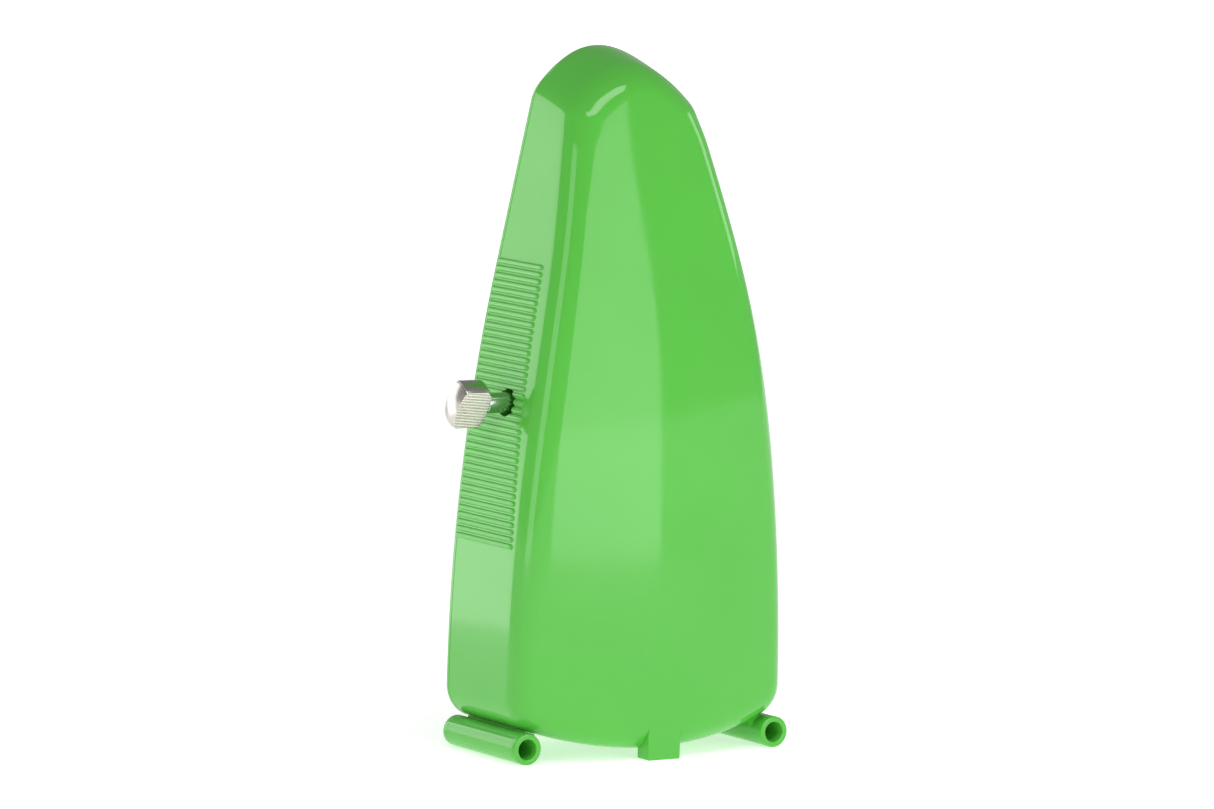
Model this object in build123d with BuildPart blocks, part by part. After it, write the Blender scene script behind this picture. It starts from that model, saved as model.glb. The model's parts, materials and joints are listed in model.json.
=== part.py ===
from build123d import *
from math import acos, atan2, cos, degrees, pi, radians, sin, sqrt, tan
import os

# A pocket clockwork metronome, in millimetres, +Z up. The origin is the centre of the rear foot's flat
# sole. X runs across the case with the winding key on the +X side. The pendulum swings in front of the
# case, towards -Y. The clockwork has all its arbors along X, except the verge, which runs along Y.

os.makedirs("parts", exist_ok=True)

# ---------------------------------------------------------------- case
CASE_HEIGHT = 160.0
CASE_WALL = 1.8
CASE_BLANK = 60.0        # length of the blank that the barrelled back is cut from
RIM_Y = -33.2            # open front rim of the rear case
CROWN_RADIUS = 112.0     # the back is slightly barrelled across its width
EDGE_RADIUS = 6.8        # rounding between the back and the sides
CORNER_RADIUS = 8.0      # rounding between the sides and the bottom
BOTTOM_RADIUS = 98.0
BOTTOM_Z = 2.0
CASE_HALF_WIDTH = 36.1
ROOF_RADII = [(15.0, 30.0), (29.5, 20.0), (9.0, 27.5)]   # radius and turn in degrees, from the ridge down
BACK_POINTS = [(2.5, -1), (1.6, 60), (-0.5, 93), (-4.3, 115), (-10, 136), (-18.4, CASE_HEIGHT + 4)]

REAR_FOOT_WIDTH = 8.5
REAR_FOOT_DEPTH = 5.0
REAR_FOOT_TOP = 4.5

# ribbed grips
RIB_PITCH = 1.6
RIB_COUNT = 40
RIB_RADIUS = 0.6
RIB_MIDDLE_Z = 80.1
RIB_PROUD = 0.5
RIB_END_LOW_Y = -8.9     # the rib's rear end at the bottom of the grip
RIB_END_HIGH_Y = -14.0   # and at the top

# foot tubes
TUBE_X = 33.1
TUBE_RADIUS = 3.57
TUBE_BORE_RADIUS = 2.33
TUBE_REAR_Y = -3.0
TUBE_LENGTH = 32.1
TUBE_BORE_LENGTH = 29.0
SADDLE_X = (28.5, 33.5)
SADDLE_Z = (4.5, 9.0)
SADDLE_ENDS = (3.0, 4.0)   # the saddle stops this far short of the tube's front and rear ends
PEG_X = 29.2
PEG_RADIUS = 0.9
PEG_TOP_Z = 9.6
PEG_HOLE_REACH = 6.0     # half the length of the drill that clears a peg's hole
PEG_PLACES_Y = (-27.0, -12.0)

# ---------------------------------------------------------------- front
FRAME_FRONT_Y = -35.6
FRAME_BEVEL = 1.9
FRAME_BAND = 5.0         # width of the frame's face, measured in from the case outline
SPIGOT_LENGTH = 3.0
SEAM = 0.05
FRONT_REACH = (-45.0, -20.0)   # Y range of a drill that goes through every front part
DIAL_FRONT_Y = -33.25
DIAL_THICKNESS = 1.2
DIAL_INSET = 3.5
APRON_INSET = 5.4
APRON_TOP_Z = 62.0
APRON_FRONT_Y = -42.8
APRON_WALL = 1.6
APRON_BEVEL = 1.4
APRON_SCREW_PLACES = [(-22.0, 16.0), (22.0, 16.0), (-21.0, 55.0), (21.0, 55.0)]
APRON_POST_RADIUS = 1.6
DIAL_HOLE_RADIUS = 2.4
DIAL_PIN_RADIUS = 0.7
DIAL_PIN_HEAD = 0.5      # how far a pin's head stands out all round
DIAL_PIN_LENGTH = 3.0
DIAL_PIN_HEAD_HEIGHT = 0.6
DIAL_PIN_PLACES = [(-20.5, 100.0), (20.5, 100.0), (-11.5, 138.0), (11.5, 138.0)]
ROD_SLOT_HALF = 7.0
CLIP_Z = 147.0
CLIP_HALF_WIDTH = 5.0
CLIP_HALF_HEIGHT = 3.0
CLIP_EAR_X = (2.0, 3.2)
CLIP_EAR_HALF_HEIGHT = 2.0
CLIP_FRONT_Y = -34.6
CLIP_TIP_Y = -37.0
SCREW_RADIUS = 0.6
SCREW_HEAD_RADIUS = 1.4
SCREW_HEAD_HEIGHT = 0.8
SLOT_DEPTH = 0.35
SLOT_HALF_WIDTH = 0.2
APRON_SCREW_GRIP = 3.5   # how far a screw goes into the cover's post
CLIP_SCREW_LENGTH = 3.2
MOVEMENT_SCREW_LENGTH = 5.0
PILLAR_SCREW_GRIP = 3.5
DRILL_MARGIN = 0.5       # how much deeper a screw's hole is than the screw

# ---------------------------------------------------------------- movement
MOVEMENT_Y = -18.6       # all the X arbors lie in this plane
KEY_Z = 80.6
MODULE = 0.5
PRESSURE_ANGLE = radians(25)
ADDENDUM = 0.9
DEDENDUM = 1.25
BACKLASH = 0.14
GREAT_TEETH = 44
CENTRE_TEETH = 40
PINION_TEETH = 12
CENTRE_Z = KEY_Z - MODULE * (GREAT_TEETH + PINION_TEETH) / 2
CROWN_Z = CENTRE_Z - MODULE * (CENTRE_TEETH + PINION_TEETH) / 2

PLATE_X = 18.5           # inner face of each side plate
PLATE_THICKNESS = 1.5
PLATE_FRONT_Y = -30.6
PLATE_BACK_Y = -6.6
PLATE_BOTTOM_Z = 42.0
PLATE_TOP_Z = 96.0
PILLAR_RADIUS = 1.75
PILLAR_PLACES = [(-27.2, 45.0), (-10.0, 45.0), (-27.2, 93.0), (-10.0, 93.0)]
PLATE_CORNER = 2.5
BRIDGE_THICKNESS = 1.4
COCK_SCREW_RADIUS = 0.4
COCK_SCREW_GRIP = 2.0
COCK_SCREW_HEAD = (0.8, 0.5)   # radius and height
COCK_INSET = 0.4         # the cock is this much shorter than the bridges at the top and the bottom
COCK_SCREW_Z = (50.6, 56.6)
BRIDGE_Z = (48.6, 58.6)
STRAP_Z = (88.6, 95.6)
BOSS_X = 12.0
BOSS_RADIUS = 2.6
BOSS_BORE_RADIUS = 0.8
BOSS_LENGTH = 12.0       # before the case's back trims it
STRAP_MIDDLE_Z = 90.4

ARBOR_RADIUS = 1.0
BUSH_WALL = 0.9
RUNNING = 0.05           # radial play of an arbor in its bush

BARREL_RADIUS = 10.3
BARREL_WALL = 0.8
BARREL_X = (5.0, 17.4)
CAP_X = (17.4, 18.1)
GREAT_WHEEL_X = (3.5, 5.0)
GREAT_HOLES = (6, 6.3, 1.8)    # count, ring radius and hole radius
WINDING_RADIUS = 1.5
WINDING_HUB_RADIUS = 2.6
HUB_GAP = 0.4            # between the winding arbor's hub and each end wall of the barrel
ARBOR_END = 0.4          # how far an arbor stands out of its plate
STEM_SOCKET = 3.0        # how far the winding arbor goes into the key's stem
SPRING_GAP = 0.5         # between the mainspring's edges and each end wall of the barrel
SPRING_TURNS = 5
SPRING_THICKNESS = 0.35
SPRING_STEPS = 36        # straight pieces in each turn of the mainspring

RATCHET_TEETH = 24
RATCHET_RADIUS = 6.4
RATCHET_DEPTH = 0.9
RATCHET_PHASE = 90.0     # degrees, the tooth face that the click stops against
RATCHET_X = (20.5, 22.0)
CLICK_PIVOT = (-13.0, 89.8)
CLICK_NOSE = (-18.1, 86.55)
CLICK_RADIUS = 1.9
CLICK_BORE_RADIUS = 1.0
CLICK_SCREW_HEAD_RADIUS = 1.7
CLICK_SIDE_PLAY = 0.2
CLICK_SPRING_FOOT = (-24.5, 92.1)
CLICK_SPRING_TIP = (-16.0, 90.5)
CLICK_SPRING_THICKNESS = 0.25
CLICK_SPRING_WIDTH = 0.8
CLICK_SPRING_POST = 0.8  # radius of the post that holds the spring's foot

KEY_HOLE_RADIUS = 3.18
KEY_STEM_RADIUS = 2.35
KEY_STEM_X = (24.0, 38.6)
KEY_HEAD_X = (37.6, 44.6)
KEY_HEAD_RADIUS = 6.25
KEY_FLAT = 3.3           # half the thickness across the two flats
KEY_TURN = 35.0          # degrees that the head leans back from upright at rest
KEY_DOME = 1.3
KEY_CHAMFER = 1.2

CENTRE_WHEEL_X = (-12.5, -11.5)
CENTRE_HOLES = (5, 5.6, 2.3)
CENTRE_PINION_X = (1.9, 6.4)
CROWN_PINION_X = (-14.2, -9.9)
COCK_X = (-9.4, -8.0)
CROWN_TEETH = 15
CROWN_HOLES = (5, 4.6, 1.9)
CROWN_DISC_X = (-7.0, -6.1)
CROWN_TIP_X = -2.95
CROWN_TOOTH_DEPTH = 1.7
CROWN_TIP_WIDTH = 0.3
CROWN_OUTER = 9.3
CROWN_INNER = 8.0
PALLET_REACH = 2.85
PALLET_COLLAR = 1.6
PALLET_WIDTH = 2.2
PALLET_THICKNESS = 0.35

# ---------------------------------------------------------------- pendulum
ROD_Y = -38.2
ROD_RADIUS = 0.8
ROD_BOTTOM_Z = 19.0
ROD_TOP_Z = 152.0
HUB_RADIUS = 3.0
HUB_Y = (-40.3, -35.9)
VERGE_FRONT_Y = -37.3
SCREW_TIP_GAP = 0.02     # a clamping screw stops this far from the rod
BOB_Z = 27.0
BOB_RADIUS = 10.0
BOB_THICKNESS = 5.0
BOB_CHAMFER = 0.5
BOB_SCREW_SEAT = 8.0     # X of the seat that the clamping screw's head is sunk to
WEIGHT_Z = 112.0
WEIGHT_HEIGHT = 12.0
WEIGHT_TOP_WIDTH = 14.0
WEIGHT_BOTTOM_WIDTH = 9.0
WEIGHT_Y = (-41.0, -36.2)
WEIGHT_CHAMFER = 0.4
POCKET_HALF_WIDTH = 2.0  # the pocket in the weight for its friction spring
POCKET_HALF_HEIGHT = 4.0
POCKET_DEPTH = 0.6
LEAF_THICKNESS = 0.25
PAD_HALF_HEIGHT = 1.0
PAD_GAP = 0.06


def finish_part(part, name):
    """Name a finished piece and write it to its own file."""
    part.label = name
    export_step(part, f"parts/{name}.step")


def arc_steps(radii):
    """How far a chain of tangent arcs runs out and drops, starting level."""
    out = drop = heading = 0.0
    for radius, turn in radii:
        turned = heading + radians(turn)
        out += radius * (sin(turned) - sin(heading))
        drop += radius * (cos(heading) - cos(turned))
        heading = turned
    return out, drop


# The flank and the large side arc below it are sized to end where the bottom corner starts.
LEAN = sum(turn for radius, turn in ROOF_RADII)
CORNER_X = CASE_HALF_WIDTH - CORNER_RADIUS
CORNER_Z = BOTTOM_Z + BOTTOM_RADIUS - sqrt((BOTTOM_RADIUS - CORNER_RADIUS) ** 2 - CORNER_X**2)
CORNER_TURN = 90 - degrees(atan2(CORNER_X, BOTTOM_Z + BOTTOM_RADIUS - CORNER_Z))
SHOULDER_X, SHOULDER_DROP = arc_steps(ROOF_RADII)
SIDE_OUT = CASE_HALF_WIDTH - SHOULDER_X
SIDE_DROP = CASE_HEIGHT - SHOULDER_DROP - CORNER_Z
SIDE_RADIUS = (SIDE_DROP * cos(radians(LEAN)) - SIDE_OUT * sin(radians(LEAN))) / (1 - sin(radians(LEAN)))
FLANK = (SIDE_OUT - SIDE_RADIUS * (1 - sin(radians(LEAN)))) / cos(radians(LEAN))


def case_outline(y, inset):
    """The case seen from the front, on a plane at y, drawn in from the outer skin by inset.

    Every stretch is an arc or a line tangent to the last, so drawing in only takes inset off each radius.
    """
    with BuildSketch(Plane.XZ.offset(-y)) as outline:
        with BuildLine():
            ends = []
            for side in (-1, 1):
                end, direction = (0, CASE_HEIGHT - inset), (side, 0)
                for radius, turn in ROOF_RADII:
                    arc = JernArc(end, direction, radius - inset, -side * turn)
                    end, direction = arc @ 1, arc % 1
                line = Line(end, end + direction * FLANK)
                side_arc = JernArc(line @ 1, direction, SIDE_RADIUS - inset, -side * (90 - LEAN))
                corner = JernArc(side_arc @ 1, (0, -1), CORNER_RADIUS - inset, -side * CORNER_TURN)
                ends.append(corner @ 1)
            ThreePointArc(ends[0], (0, BOTTOM_Z + inset), ends[1])
        make_face()
    return outline.sketch


def case_form(inset):
    """The solid body of the case, from the rim to the barrelled back, drawn in by inset."""
    axis_y = BACK_POINTS[0][0] - CROWN_RADIUS
    back = [(2 * axis_y - y + inset, z) for y, z in BACK_POINTS]
    with BuildPart() as form:
        extrude(case_outline(RIM_Y, inset), amount=-CASE_BLANK)
        with BuildSketch(Plane.YZ):
            with BuildLine():
                Spline(back, tangents=[(0, 1), (back[-1][0] - back[-2][0], back[-1][1] - back[-2][1])])
                Polyline(back[-1], (axis_y, back[-1][1]), (axis_y, back[0][1]), back[0])
            make_face()
        revolve(axis=Axis((0, axis_y, 0), (0, 0, 1)), mode=Mode.INTERSECT)
        fillet(form.faces().sort_by(Axis.Y)[-1].edges(), EDGE_RADIUS - inset)
    return form.part


def side_x(z):
    """Half the width of the case at a height on the large side arc."""
    return CASE_HALF_WIDTH - SIDE_RADIUS + sqrt(SIDE_RADIUS**2 - (z - CORNER_Z) ** 2)


def x_bar(radius, x_range, y, z):
    """A loose round bar along X."""
    with BuildPart(Plane.YZ.offset(x_range[0])) as bar:
        with Locations((y, z)):
            Cylinder(radius, x_range[1] - x_range[0], align=(Align.CENTER, Align.CENTER, Align.MIN))
    return bar.part


def y_bar(radius, y_range, x, z):
    """A loose round bar along Y."""
    with BuildPart(Plane.XZ.offset(-y_range[1])) as bar:
        with Locations((x, z)):
            Cylinder(radius, y_range[1] - y_range[0], align=(Align.CENTER, Align.CENTER, Align.MIN))
    return bar.part


def box_between(low, high):
    """A loose box from its lowest to its highest corner."""
    with BuildPart() as block:
        with Locations(low):
            Box(*(b - a for a, b in zip(low, high)), align=(Align.MIN, Align.MIN, Align.MIN))
    return block.part


def gear(teeth, x_range, z, phase, bore):
    """An involute gear about an X axis, with one tooth's middle at phase from +Y towards +Z."""
    pitch_radius = MODULE * teeth / 2
    base_radius = pitch_radius * cos(PRESSURE_ANGLE)
    tip_radius = pitch_radius + ADDENDUM * MODULE
    root_radius = pitch_radius - DEDENDUM * MODULE
    half_tooth = (pi * MODULE - BACKLASH) / 4 / pitch_radius
    involute = tan(PRESSURE_ANGLE) - PRESSURE_ANGLE

    def half_angle(radius):
        slope = acos(min(1.0, base_radius / radius))
        return half_tooth + involute - (tan(slope) - slope)

    start = max(base_radius, root_radius)
    radii = [root_radius] + [start + (tip_radius - start) * step / 4 for step in range(5)]
    flank = [(radius, half_angle(max(radius, start))) for radius in radii]
    tooth = [(radius, -angle) for radius, angle in flank]
    tooth += [(radius, angle) for radius, angle in reversed(flank)]
    points = []
    for index in range(teeth):
        middle = phase + 2 * pi * index / teeth
        points += [(radius * cos(middle + angle), radius * sin(middle + angle)) for radius, angle in tooth]
    with BuildPart() as wheel:
        with BuildSketch(Plane.YZ.offset(x_range[0])):
            with Locations((MOVEMENT_Y, z)):
                Polygon(*points, align=None)
                Circle(bore, mode=Mode.SUBTRACT)
        extrude(amount=x_range[1] - x_range[0])
    return wheel.part


def crossed_out(wheel, z, count, radius, hole_radius):
    """A wheel with a ring of round holes that lighten it."""
    with BuildPart() as crossed:
        add(wheel)
        with BuildSketch(Plane.YZ):
            with Locations((MOVEMENT_Y, z)):
                with PolarLocations(radius, count):
                    Circle(hole_radius)
        extrude(amount=PLATE_X, both=True, mode=Mode.SUBTRACT)
    return crossed.part


# ---------------------------------------------------------------- rear case
outer_form = case_form(0)
inner_form = case_form(CASE_WALL)
boss_places = [(x, z) for x in (-BOSS_X, BOSS_X) for z in (sum(BRIDGE_Z) / 2, STRAP_MIDDLE_Z)]
rib_low_z = RIB_MIDDLE_Z - RIB_PITCH * (RIB_COUNT - 1) / 2

with BuildPart() as boss_bars:
    with BuildSketch(Plane.XZ.offset(-PLATE_BACK_Y)):
        with Locations(*boss_places):
            Circle(BOSS_RADIUS)
            Circle(BOSS_BORE_RADIUS, mode=Mode.SUBTRACT)
    extrude(amount=-BOSS_LENGTH)
    add(outer_form, mode=Mode.INTERSECT)

with BuildPart() as ribs:
    for index in range(RIB_COUNT):
        rib_z = rib_low_z + index * RIB_PITCH
        rib_end_y = RIB_END_LOW_Y + (RIB_END_HIGH_Y - RIB_END_LOW_Y) * index / (RIB_COUNT - 1)
        for side in (-1, 1):
            rib_x = side * (side_x(rib_z) + RIB_PROUD - RIB_RADIUS)
            add(y_bar(RIB_RADIUS, (RIM_Y, rib_end_y), rib_x, rib_z))
    add(inner_form, mode=Mode.SUBTRACT)

with BuildPart() as rear_case:
    add(outer_form)
    add(box_between(
        (-REAR_FOOT_WIDTH / 2, -REAR_FOOT_DEPTH / 2, 0),
        (REAR_FOOT_WIDTH / 2, REAR_FOOT_DEPTH / 2, REAR_FOOT_TOP),
    ))
    add(inner_form, mode=Mode.SUBTRACT)
    add(boss_bars.part)
    add(ribs.part)
    add(x_bar(KEY_HOLE_RADIUS, (PLATE_X, KEY_HEAD_X[0]), MOVEMENT_Y, KEY_Z), mode=Mode.SUBTRACT)
    for side in (-1, 1):
        for peg_y in PEG_PLACES_Y:
            with Locations((side * PEG_X, peg_y, PEG_TOP_Z)):
                Cylinder(PEG_RADIUS, 2 * PEG_HOLE_REACH, mode=Mode.SUBTRACT)
finish_part(rear_case.part, "rear_case")

# ---------------------------------------------------------------- foot tubes
for name, side in (("foot_tube_left", -1), ("foot_tube_right", 1)):
    saddle_x = sorted(side * x for x in SADDLE_X)
    saddle_y = (TUBE_REAR_Y - TUBE_LENGTH + SADDLE_ENDS[0], TUBE_REAR_Y - SADDLE_ENDS[1])
    saddle = box_between((saddle_x[0], saddle_y[0], SADDLE_Z[0]), (saddle_x[1], saddle_y[1], SADDLE_Z[1]))
    tube_y = (TUBE_REAR_Y - TUBE_LENGTH, TUBE_REAR_Y)
    bore_y = (TUBE_REAR_Y - TUBE_BORE_LENGTH, TUBE_REAR_Y)
    peg_height = PEG_TOP_Z - SADDLE_Z[0]
    with BuildPart() as foot_tube:
        add(saddle)
        add(case_form(-SEAM), mode=Mode.SUBTRACT)
        add(y_bar(TUBE_RADIUS, tube_y, side * TUBE_X, TUBE_RADIUS))
        for peg_y in PEG_PLACES_Y:
            with Locations((side * PEG_X, peg_y, SADDLE_Z[0])):
                Cylinder(PEG_RADIUS, peg_height, align=(Align.CENTER, Align.CENTER, Align.MIN))
        add(y_bar(TUBE_BORE_RADIUS, bore_y, side * TUBE_X, TUBE_RADIUS), mode=Mode.SUBTRACT)
    finish_part(foot_tube.part, name)

# ---------------------------------------------------------------- front
with BuildPart() as front_frame:
    extrude(case_outline(RIM_Y - SEAM, 0), amount=RIM_Y - SEAM - FRAME_FRONT_Y)
    chamfer(front_frame.faces().sort_by(Axis.Y)[0].edges(), FRAME_BEVEL)
    extrude(case_outline(RIM_Y + SPIGOT_LENGTH, CASE_WALL + SEAM), amount=SPIGOT_LENGTH + SEAM)
    extrude(case_outline(RIM_Y - SEAM, DIAL_INSET - SEAM), amount=-SPIGOT_LENGTH - 1, mode=Mode.SUBTRACT)
    extrude(case_outline(RIM_Y + 1, FRAME_BAND), amount=10, mode=Mode.SUBTRACT)
finish_part(front_frame.part, "front_frame")

dial_holes = [(x, z, SCREW_RADIUS) for x, z in APRON_SCREW_PLACES + [(0, CLIP_Z)]]
dial_holes += [(x, z, DIAL_PIN_RADIUS) for x, z in DIAL_PIN_PLACES] + [(0, CROWN_Z, DIAL_HOLE_RADIUS)]
with BuildPart() as dial_plate:
    extrude(case_outline(DIAL_FRONT_Y, DIAL_INSET), amount=-DIAL_THICKNESS)
    for x, z, radius in dial_holes:
        add(y_bar(radius, FRONT_REACH, x, z), mode=Mode.SUBTRACT)
finish_part(dial_plate.part, "dial_plate")

with BuildPart() as dial_pins:
    for x, z in DIAL_PIN_PLACES:
        add(y_bar(DIAL_PIN_RADIUS, (DIAL_FRONT_Y, DIAL_FRONT_Y + DIAL_PIN_LENGTH), x, z))
        head_y = (DIAL_FRONT_Y - DIAL_PIN_HEAD_HEIGHT, DIAL_FRONT_Y)
        add(y_bar(DIAL_PIN_RADIUS + DIAL_PIN_HEAD, head_y, x, z))
finish_part(dial_pins.part, "dial_pins")

# The cover over the lower bob: a shell open at the back, with a top wall that the rod passes through.
apron_back_y = DIAL_FRONT_Y - SEAM
apron_inside_y = APRON_FRONT_Y + APRON_WALL
apron_depth = apron_back_y - APRON_FRONT_Y
with BuildPart() as apron:
    extrude(case_outline(apron_back_y, APRON_INSET), amount=apron_depth)
    chamfer(apron.faces().sort_by(Axis.Y)[0].edges(), APRON_BEVEL)
    add(box_between(
        (-CASE_HALF_WIDTH, APRON_FRONT_Y, 0), (CASE_HALF_WIDTH, apron_back_y, APRON_TOP_Z)
    ), mode=Mode.INTERSECT)
    hollow = case_outline(DIAL_FRONT_Y, APRON_INSET + APRON_WALL)
    extrude(hollow, amount=DIAL_FRONT_Y - apron_inside_y, mode=Mode.SUBTRACT)
    add(box_between(
        (-CASE_HALF_WIDTH, apron_inside_y, APRON_TOP_Z - APRON_WALL),
        (CASE_HALF_WIDTH, apron_back_y, APRON_TOP_Z),
    ))
    add(box_between(
        (-ROD_SLOT_HALF, apron_inside_y, APRON_TOP_Z - 2 * APRON_WALL),
        (ROD_SLOT_HALF, apron_back_y, APRON_TOP_Z),
    ), mode=Mode.SUBTRACT)
    block = extrude(case_outline(apron_back_y, APRON_INSET), amount=apron_depth, mode=Mode.PRIVATE)
    add(block, mode=Mode.INTERSECT)
    for x, z in APRON_SCREW_PLACES:
        add(y_bar(APRON_POST_RADIUS, (apron_inside_y, apron_back_y), x, z))
        drilled = (apron_back_y - APRON_SCREW_GRIP - DRILL_MARGIN, apron_back_y)
        add(y_bar(SCREW_RADIUS, drilled, x, z), mode=Mode.SUBTRACT)
finish_part(apron.part, "front_apron")


def screws_along_y(places, seat_y, length, head_side):
    """Round-headed screws along Y: heads on the seat's head_side, shanks going the other way."""
    with BuildPart() as screws:
        for x, z in places:
            shank = sorted((seat_y, seat_y - head_side * length))
            head = sorted((seat_y, seat_y + head_side * SCREW_HEAD_HEIGHT))
            add(y_bar(SCREW_RADIUS, shank, x, z))
            add(y_bar(SCREW_HEAD_RADIUS, head, x, z))
            slot_y = seat_y + head_side * SCREW_HEAD_HEIGHT
            add(box_between(
                (x - SCREW_HEAD_RADIUS, slot_y - SLOT_DEPTH, z - SLOT_HALF_WIDTH),
                (x + SCREW_HEAD_RADIUS, slot_y + SLOT_DEPTH, z + SLOT_HALF_WIDTH),
            ), mode=Mode.SUBTRACT)
    return screws.part


def screws_along_x(places, seat_x, length, head_side):
    """Round-headed screws along X: heads on the seat's head_side, shanks going the other way."""
    with BuildPart() as screws:
        for y, z in places:
            shank = sorted((seat_x, seat_x - head_side * length))
            head = sorted((seat_x, seat_x + head_side * SCREW_HEAD_HEIGHT))
            add(x_bar(SCREW_RADIUS, shank, y, z))
            add(x_bar(SCREW_HEAD_RADIUS, head, y, z))
            slot_x = seat_x + head_side * SCREW_HEAD_HEIGHT
            add(box_between(
                (slot_x - SLOT_DEPTH, y - SCREW_HEAD_RADIUS, z - SLOT_HALF_WIDTH),
                (slot_x + SLOT_DEPTH, y + SCREW_HEAD_RADIUS, z + SLOT_HALF_WIDTH),
            ), mode=Mode.SUBTRACT)
    return screws.part


dial_back_y = DIAL_FRONT_Y + DIAL_THICKNESS
apron_screw_length = DIAL_THICKNESS + SEAM + APRON_SCREW_GRIP
finish_part(screws_along_y(APRON_SCREW_PLACES, dial_back_y, apron_screw_length, 1), "apron_screws")

# The clip that the rod rests against when it is put away; it stays behind the rod.
with BuildPart() as clip:
    add(box_between(
        (-CLIP_HALF_WIDTH, CLIP_FRONT_Y, CLIP_Z - CLIP_HALF_HEIGHT),
        (CLIP_HALF_WIDTH, DIAL_FRONT_Y - SEAM, CLIP_Z + CLIP_HALF_HEIGHT),
    ))
    for side in (-1, 1):
        ear = sorted(side * x for x in CLIP_EAR_X)
        add(box_between(
            (ear[0], CLIP_TIP_Y, CLIP_Z - CLIP_EAR_HALF_HEIGHT),
            (ear[1], CLIP_FRONT_Y, CLIP_Z + CLIP_EAR_HALF_HEIGHT),
        ))
    add(y_bar(SCREW_RADIUS, FRONT_REACH, 0, CLIP_Z), mode=Mode.SUBTRACT)
finish_part(clip.part, "pendulum_clip")
finish_part(screws_along_y([(0, CLIP_Z)], CLIP_FRONT_Y, CLIP_SCREW_LENGTH, -1), "clip_screw")

# ---------------------------------------------------------------- movement frame
left_plate_x = (-PLATE_X - PLATE_THICKNESS, -PLATE_X)
right_plate_x = (PLATE_X, PLATE_X + PLATE_THICKNESS)
arbor_holes = [(KEY_Z, WINDING_RADIUS), (CENTRE_Z, ARBOR_RADIUS)]
for name, (low_x, high_x) in (("side_plate_left", left_plate_x), ("side_plate_right", right_plate_x)):
    holes = arbor_holes + ([(CROWN_Z, ARBOR_RADIUS)] if low_x < 0 else [])
    with BuildPart() as plate:
        add(box_between((low_x, PLATE_FRONT_Y, PLATE_BOTTOM_Z), (high_x, PLATE_BACK_Y, PLATE_TOP_Z)))
        fillet(plate.edges().filter_by(Axis.X), PLATE_CORNER)
        for z, radius in holes:
            add(x_bar(radius + BUSH_WALL, (low_x, high_x), MOVEMENT_Y, z), mode=Mode.SUBTRACT)
        for y, z in PILLAR_PLACES:
            add(x_bar(SCREW_RADIUS, (low_x, high_x), y, z), mode=Mode.SUBTRACT)
        if low_x > 0:
            add(x_bar(SCREW_RADIUS, (low_x, high_x), *CLICK_PIVOT), mode=Mode.SUBTRACT)
    finish_part(plate.part, name)

with BuildPart() as pillars:
    for y, z in PILLAR_PLACES:
        add(x_bar(PILLAR_RADIUS, (-PLATE_X, PLATE_X), y, z))
        for side in (-1, 1):
            drilled = sorted((side * (PLATE_X - PILLAR_SCREW_GRIP - DRILL_MARGIN), side * PLATE_X))
            add(x_bar(SCREW_RADIUS, drilled, y, z), mode=Mode.SUBTRACT)
finish_part(pillars.part, "plate_pillars")

with BuildPart() as pillar_screws:
    for side in (-1, 1):
        seat_x = side * (PLATE_X + PLATE_THICKNESS)
        add(screws_along_x(PILLAR_PLACES, seat_x, PLATE_THICKNESS + PILLAR_SCREW_GRIP, side))
finish_part(pillar_screws.part, "pillar_screws")

back_bridge_y = (PLATE_BACK_Y - BRIDGE_THICKNESS, PLATE_BACK_Y)
front_bridge_y = (PLATE_FRONT_Y, PLATE_FRONT_Y + BRIDGE_THICKNESS)
verge_hole = ARBOR_RADIUS + BUSH_WALL
boss_x = (-BOSS_X, BOSS_X)
cock_screw_x = sum(COCK_X) / 2


def bridge(y_range, z_range, holes):
    """A flat bar from plate to plate, with round holes given as x, z and radius."""
    with BuildPart() as bar:
        add(box_between((-PLATE_X, y_range[0], z_range[0]), (PLATE_X, y_range[1], z_range[1])))
        for x, z, radius in holes:
            add(y_bar(radius, y_range, x, z), mode=Mode.SUBTRACT)
    return bar.part


cock_holes = [(cock_screw_x, z, COCK_SCREW_RADIUS) for z in COCK_SCREW_Z]
rear_holes = [(x, CROWN_Z, SCREW_RADIUS) for x in boss_x] + [(0, CROWN_Z, verge_hole)] + cock_holes
strap_holes = [(x, STRAP_MIDDLE_Z, SCREW_RADIUS) for x in boss_x]
finish_part(bridge(front_bridge_y, BRIDGE_Z, [(0, CROWN_Z, verge_hole)] + cock_holes), "front_bridge")
finish_part(bridge(back_bridge_y, BRIDGE_Z, rear_holes), "rear_bridge")
finish_part(bridge(back_bridge_y, STRAP_Z, strap_holes), "upper_strap")
finish_part(screws_along_y(boss_places, back_bridge_y[0], MOVEMENT_SCREW_LENGTH, -1), "movement_screws")

with BuildPart() as cock:
    add(box_between(
        (COCK_X[0], front_bridge_y[1], BRIDGE_Z[0] + COCK_INSET),
        (COCK_X[1], back_bridge_y[0], BRIDGE_Z[1] - COCK_INSET),
    ))
    add(x_bar(ARBOR_RADIUS + BUSH_WALL, COCK_X, MOVEMENT_Y, CROWN_Z), mode=Mode.SUBTRACT)
    for z in COCK_SCREW_Z:
        for end_y, inward in ((front_bridge_y[1], 1), (back_bridge_y[0], -1)):
            drilled = sorted((end_y, end_y + inward * (COCK_SCREW_GRIP + DRILL_MARGIN)))
            add(y_bar(COCK_SCREW_RADIUS, drilled, cock_screw_x, z), mode=Mode.SUBTRACT)
finish_part(cock.part, "crown_cock")

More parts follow.
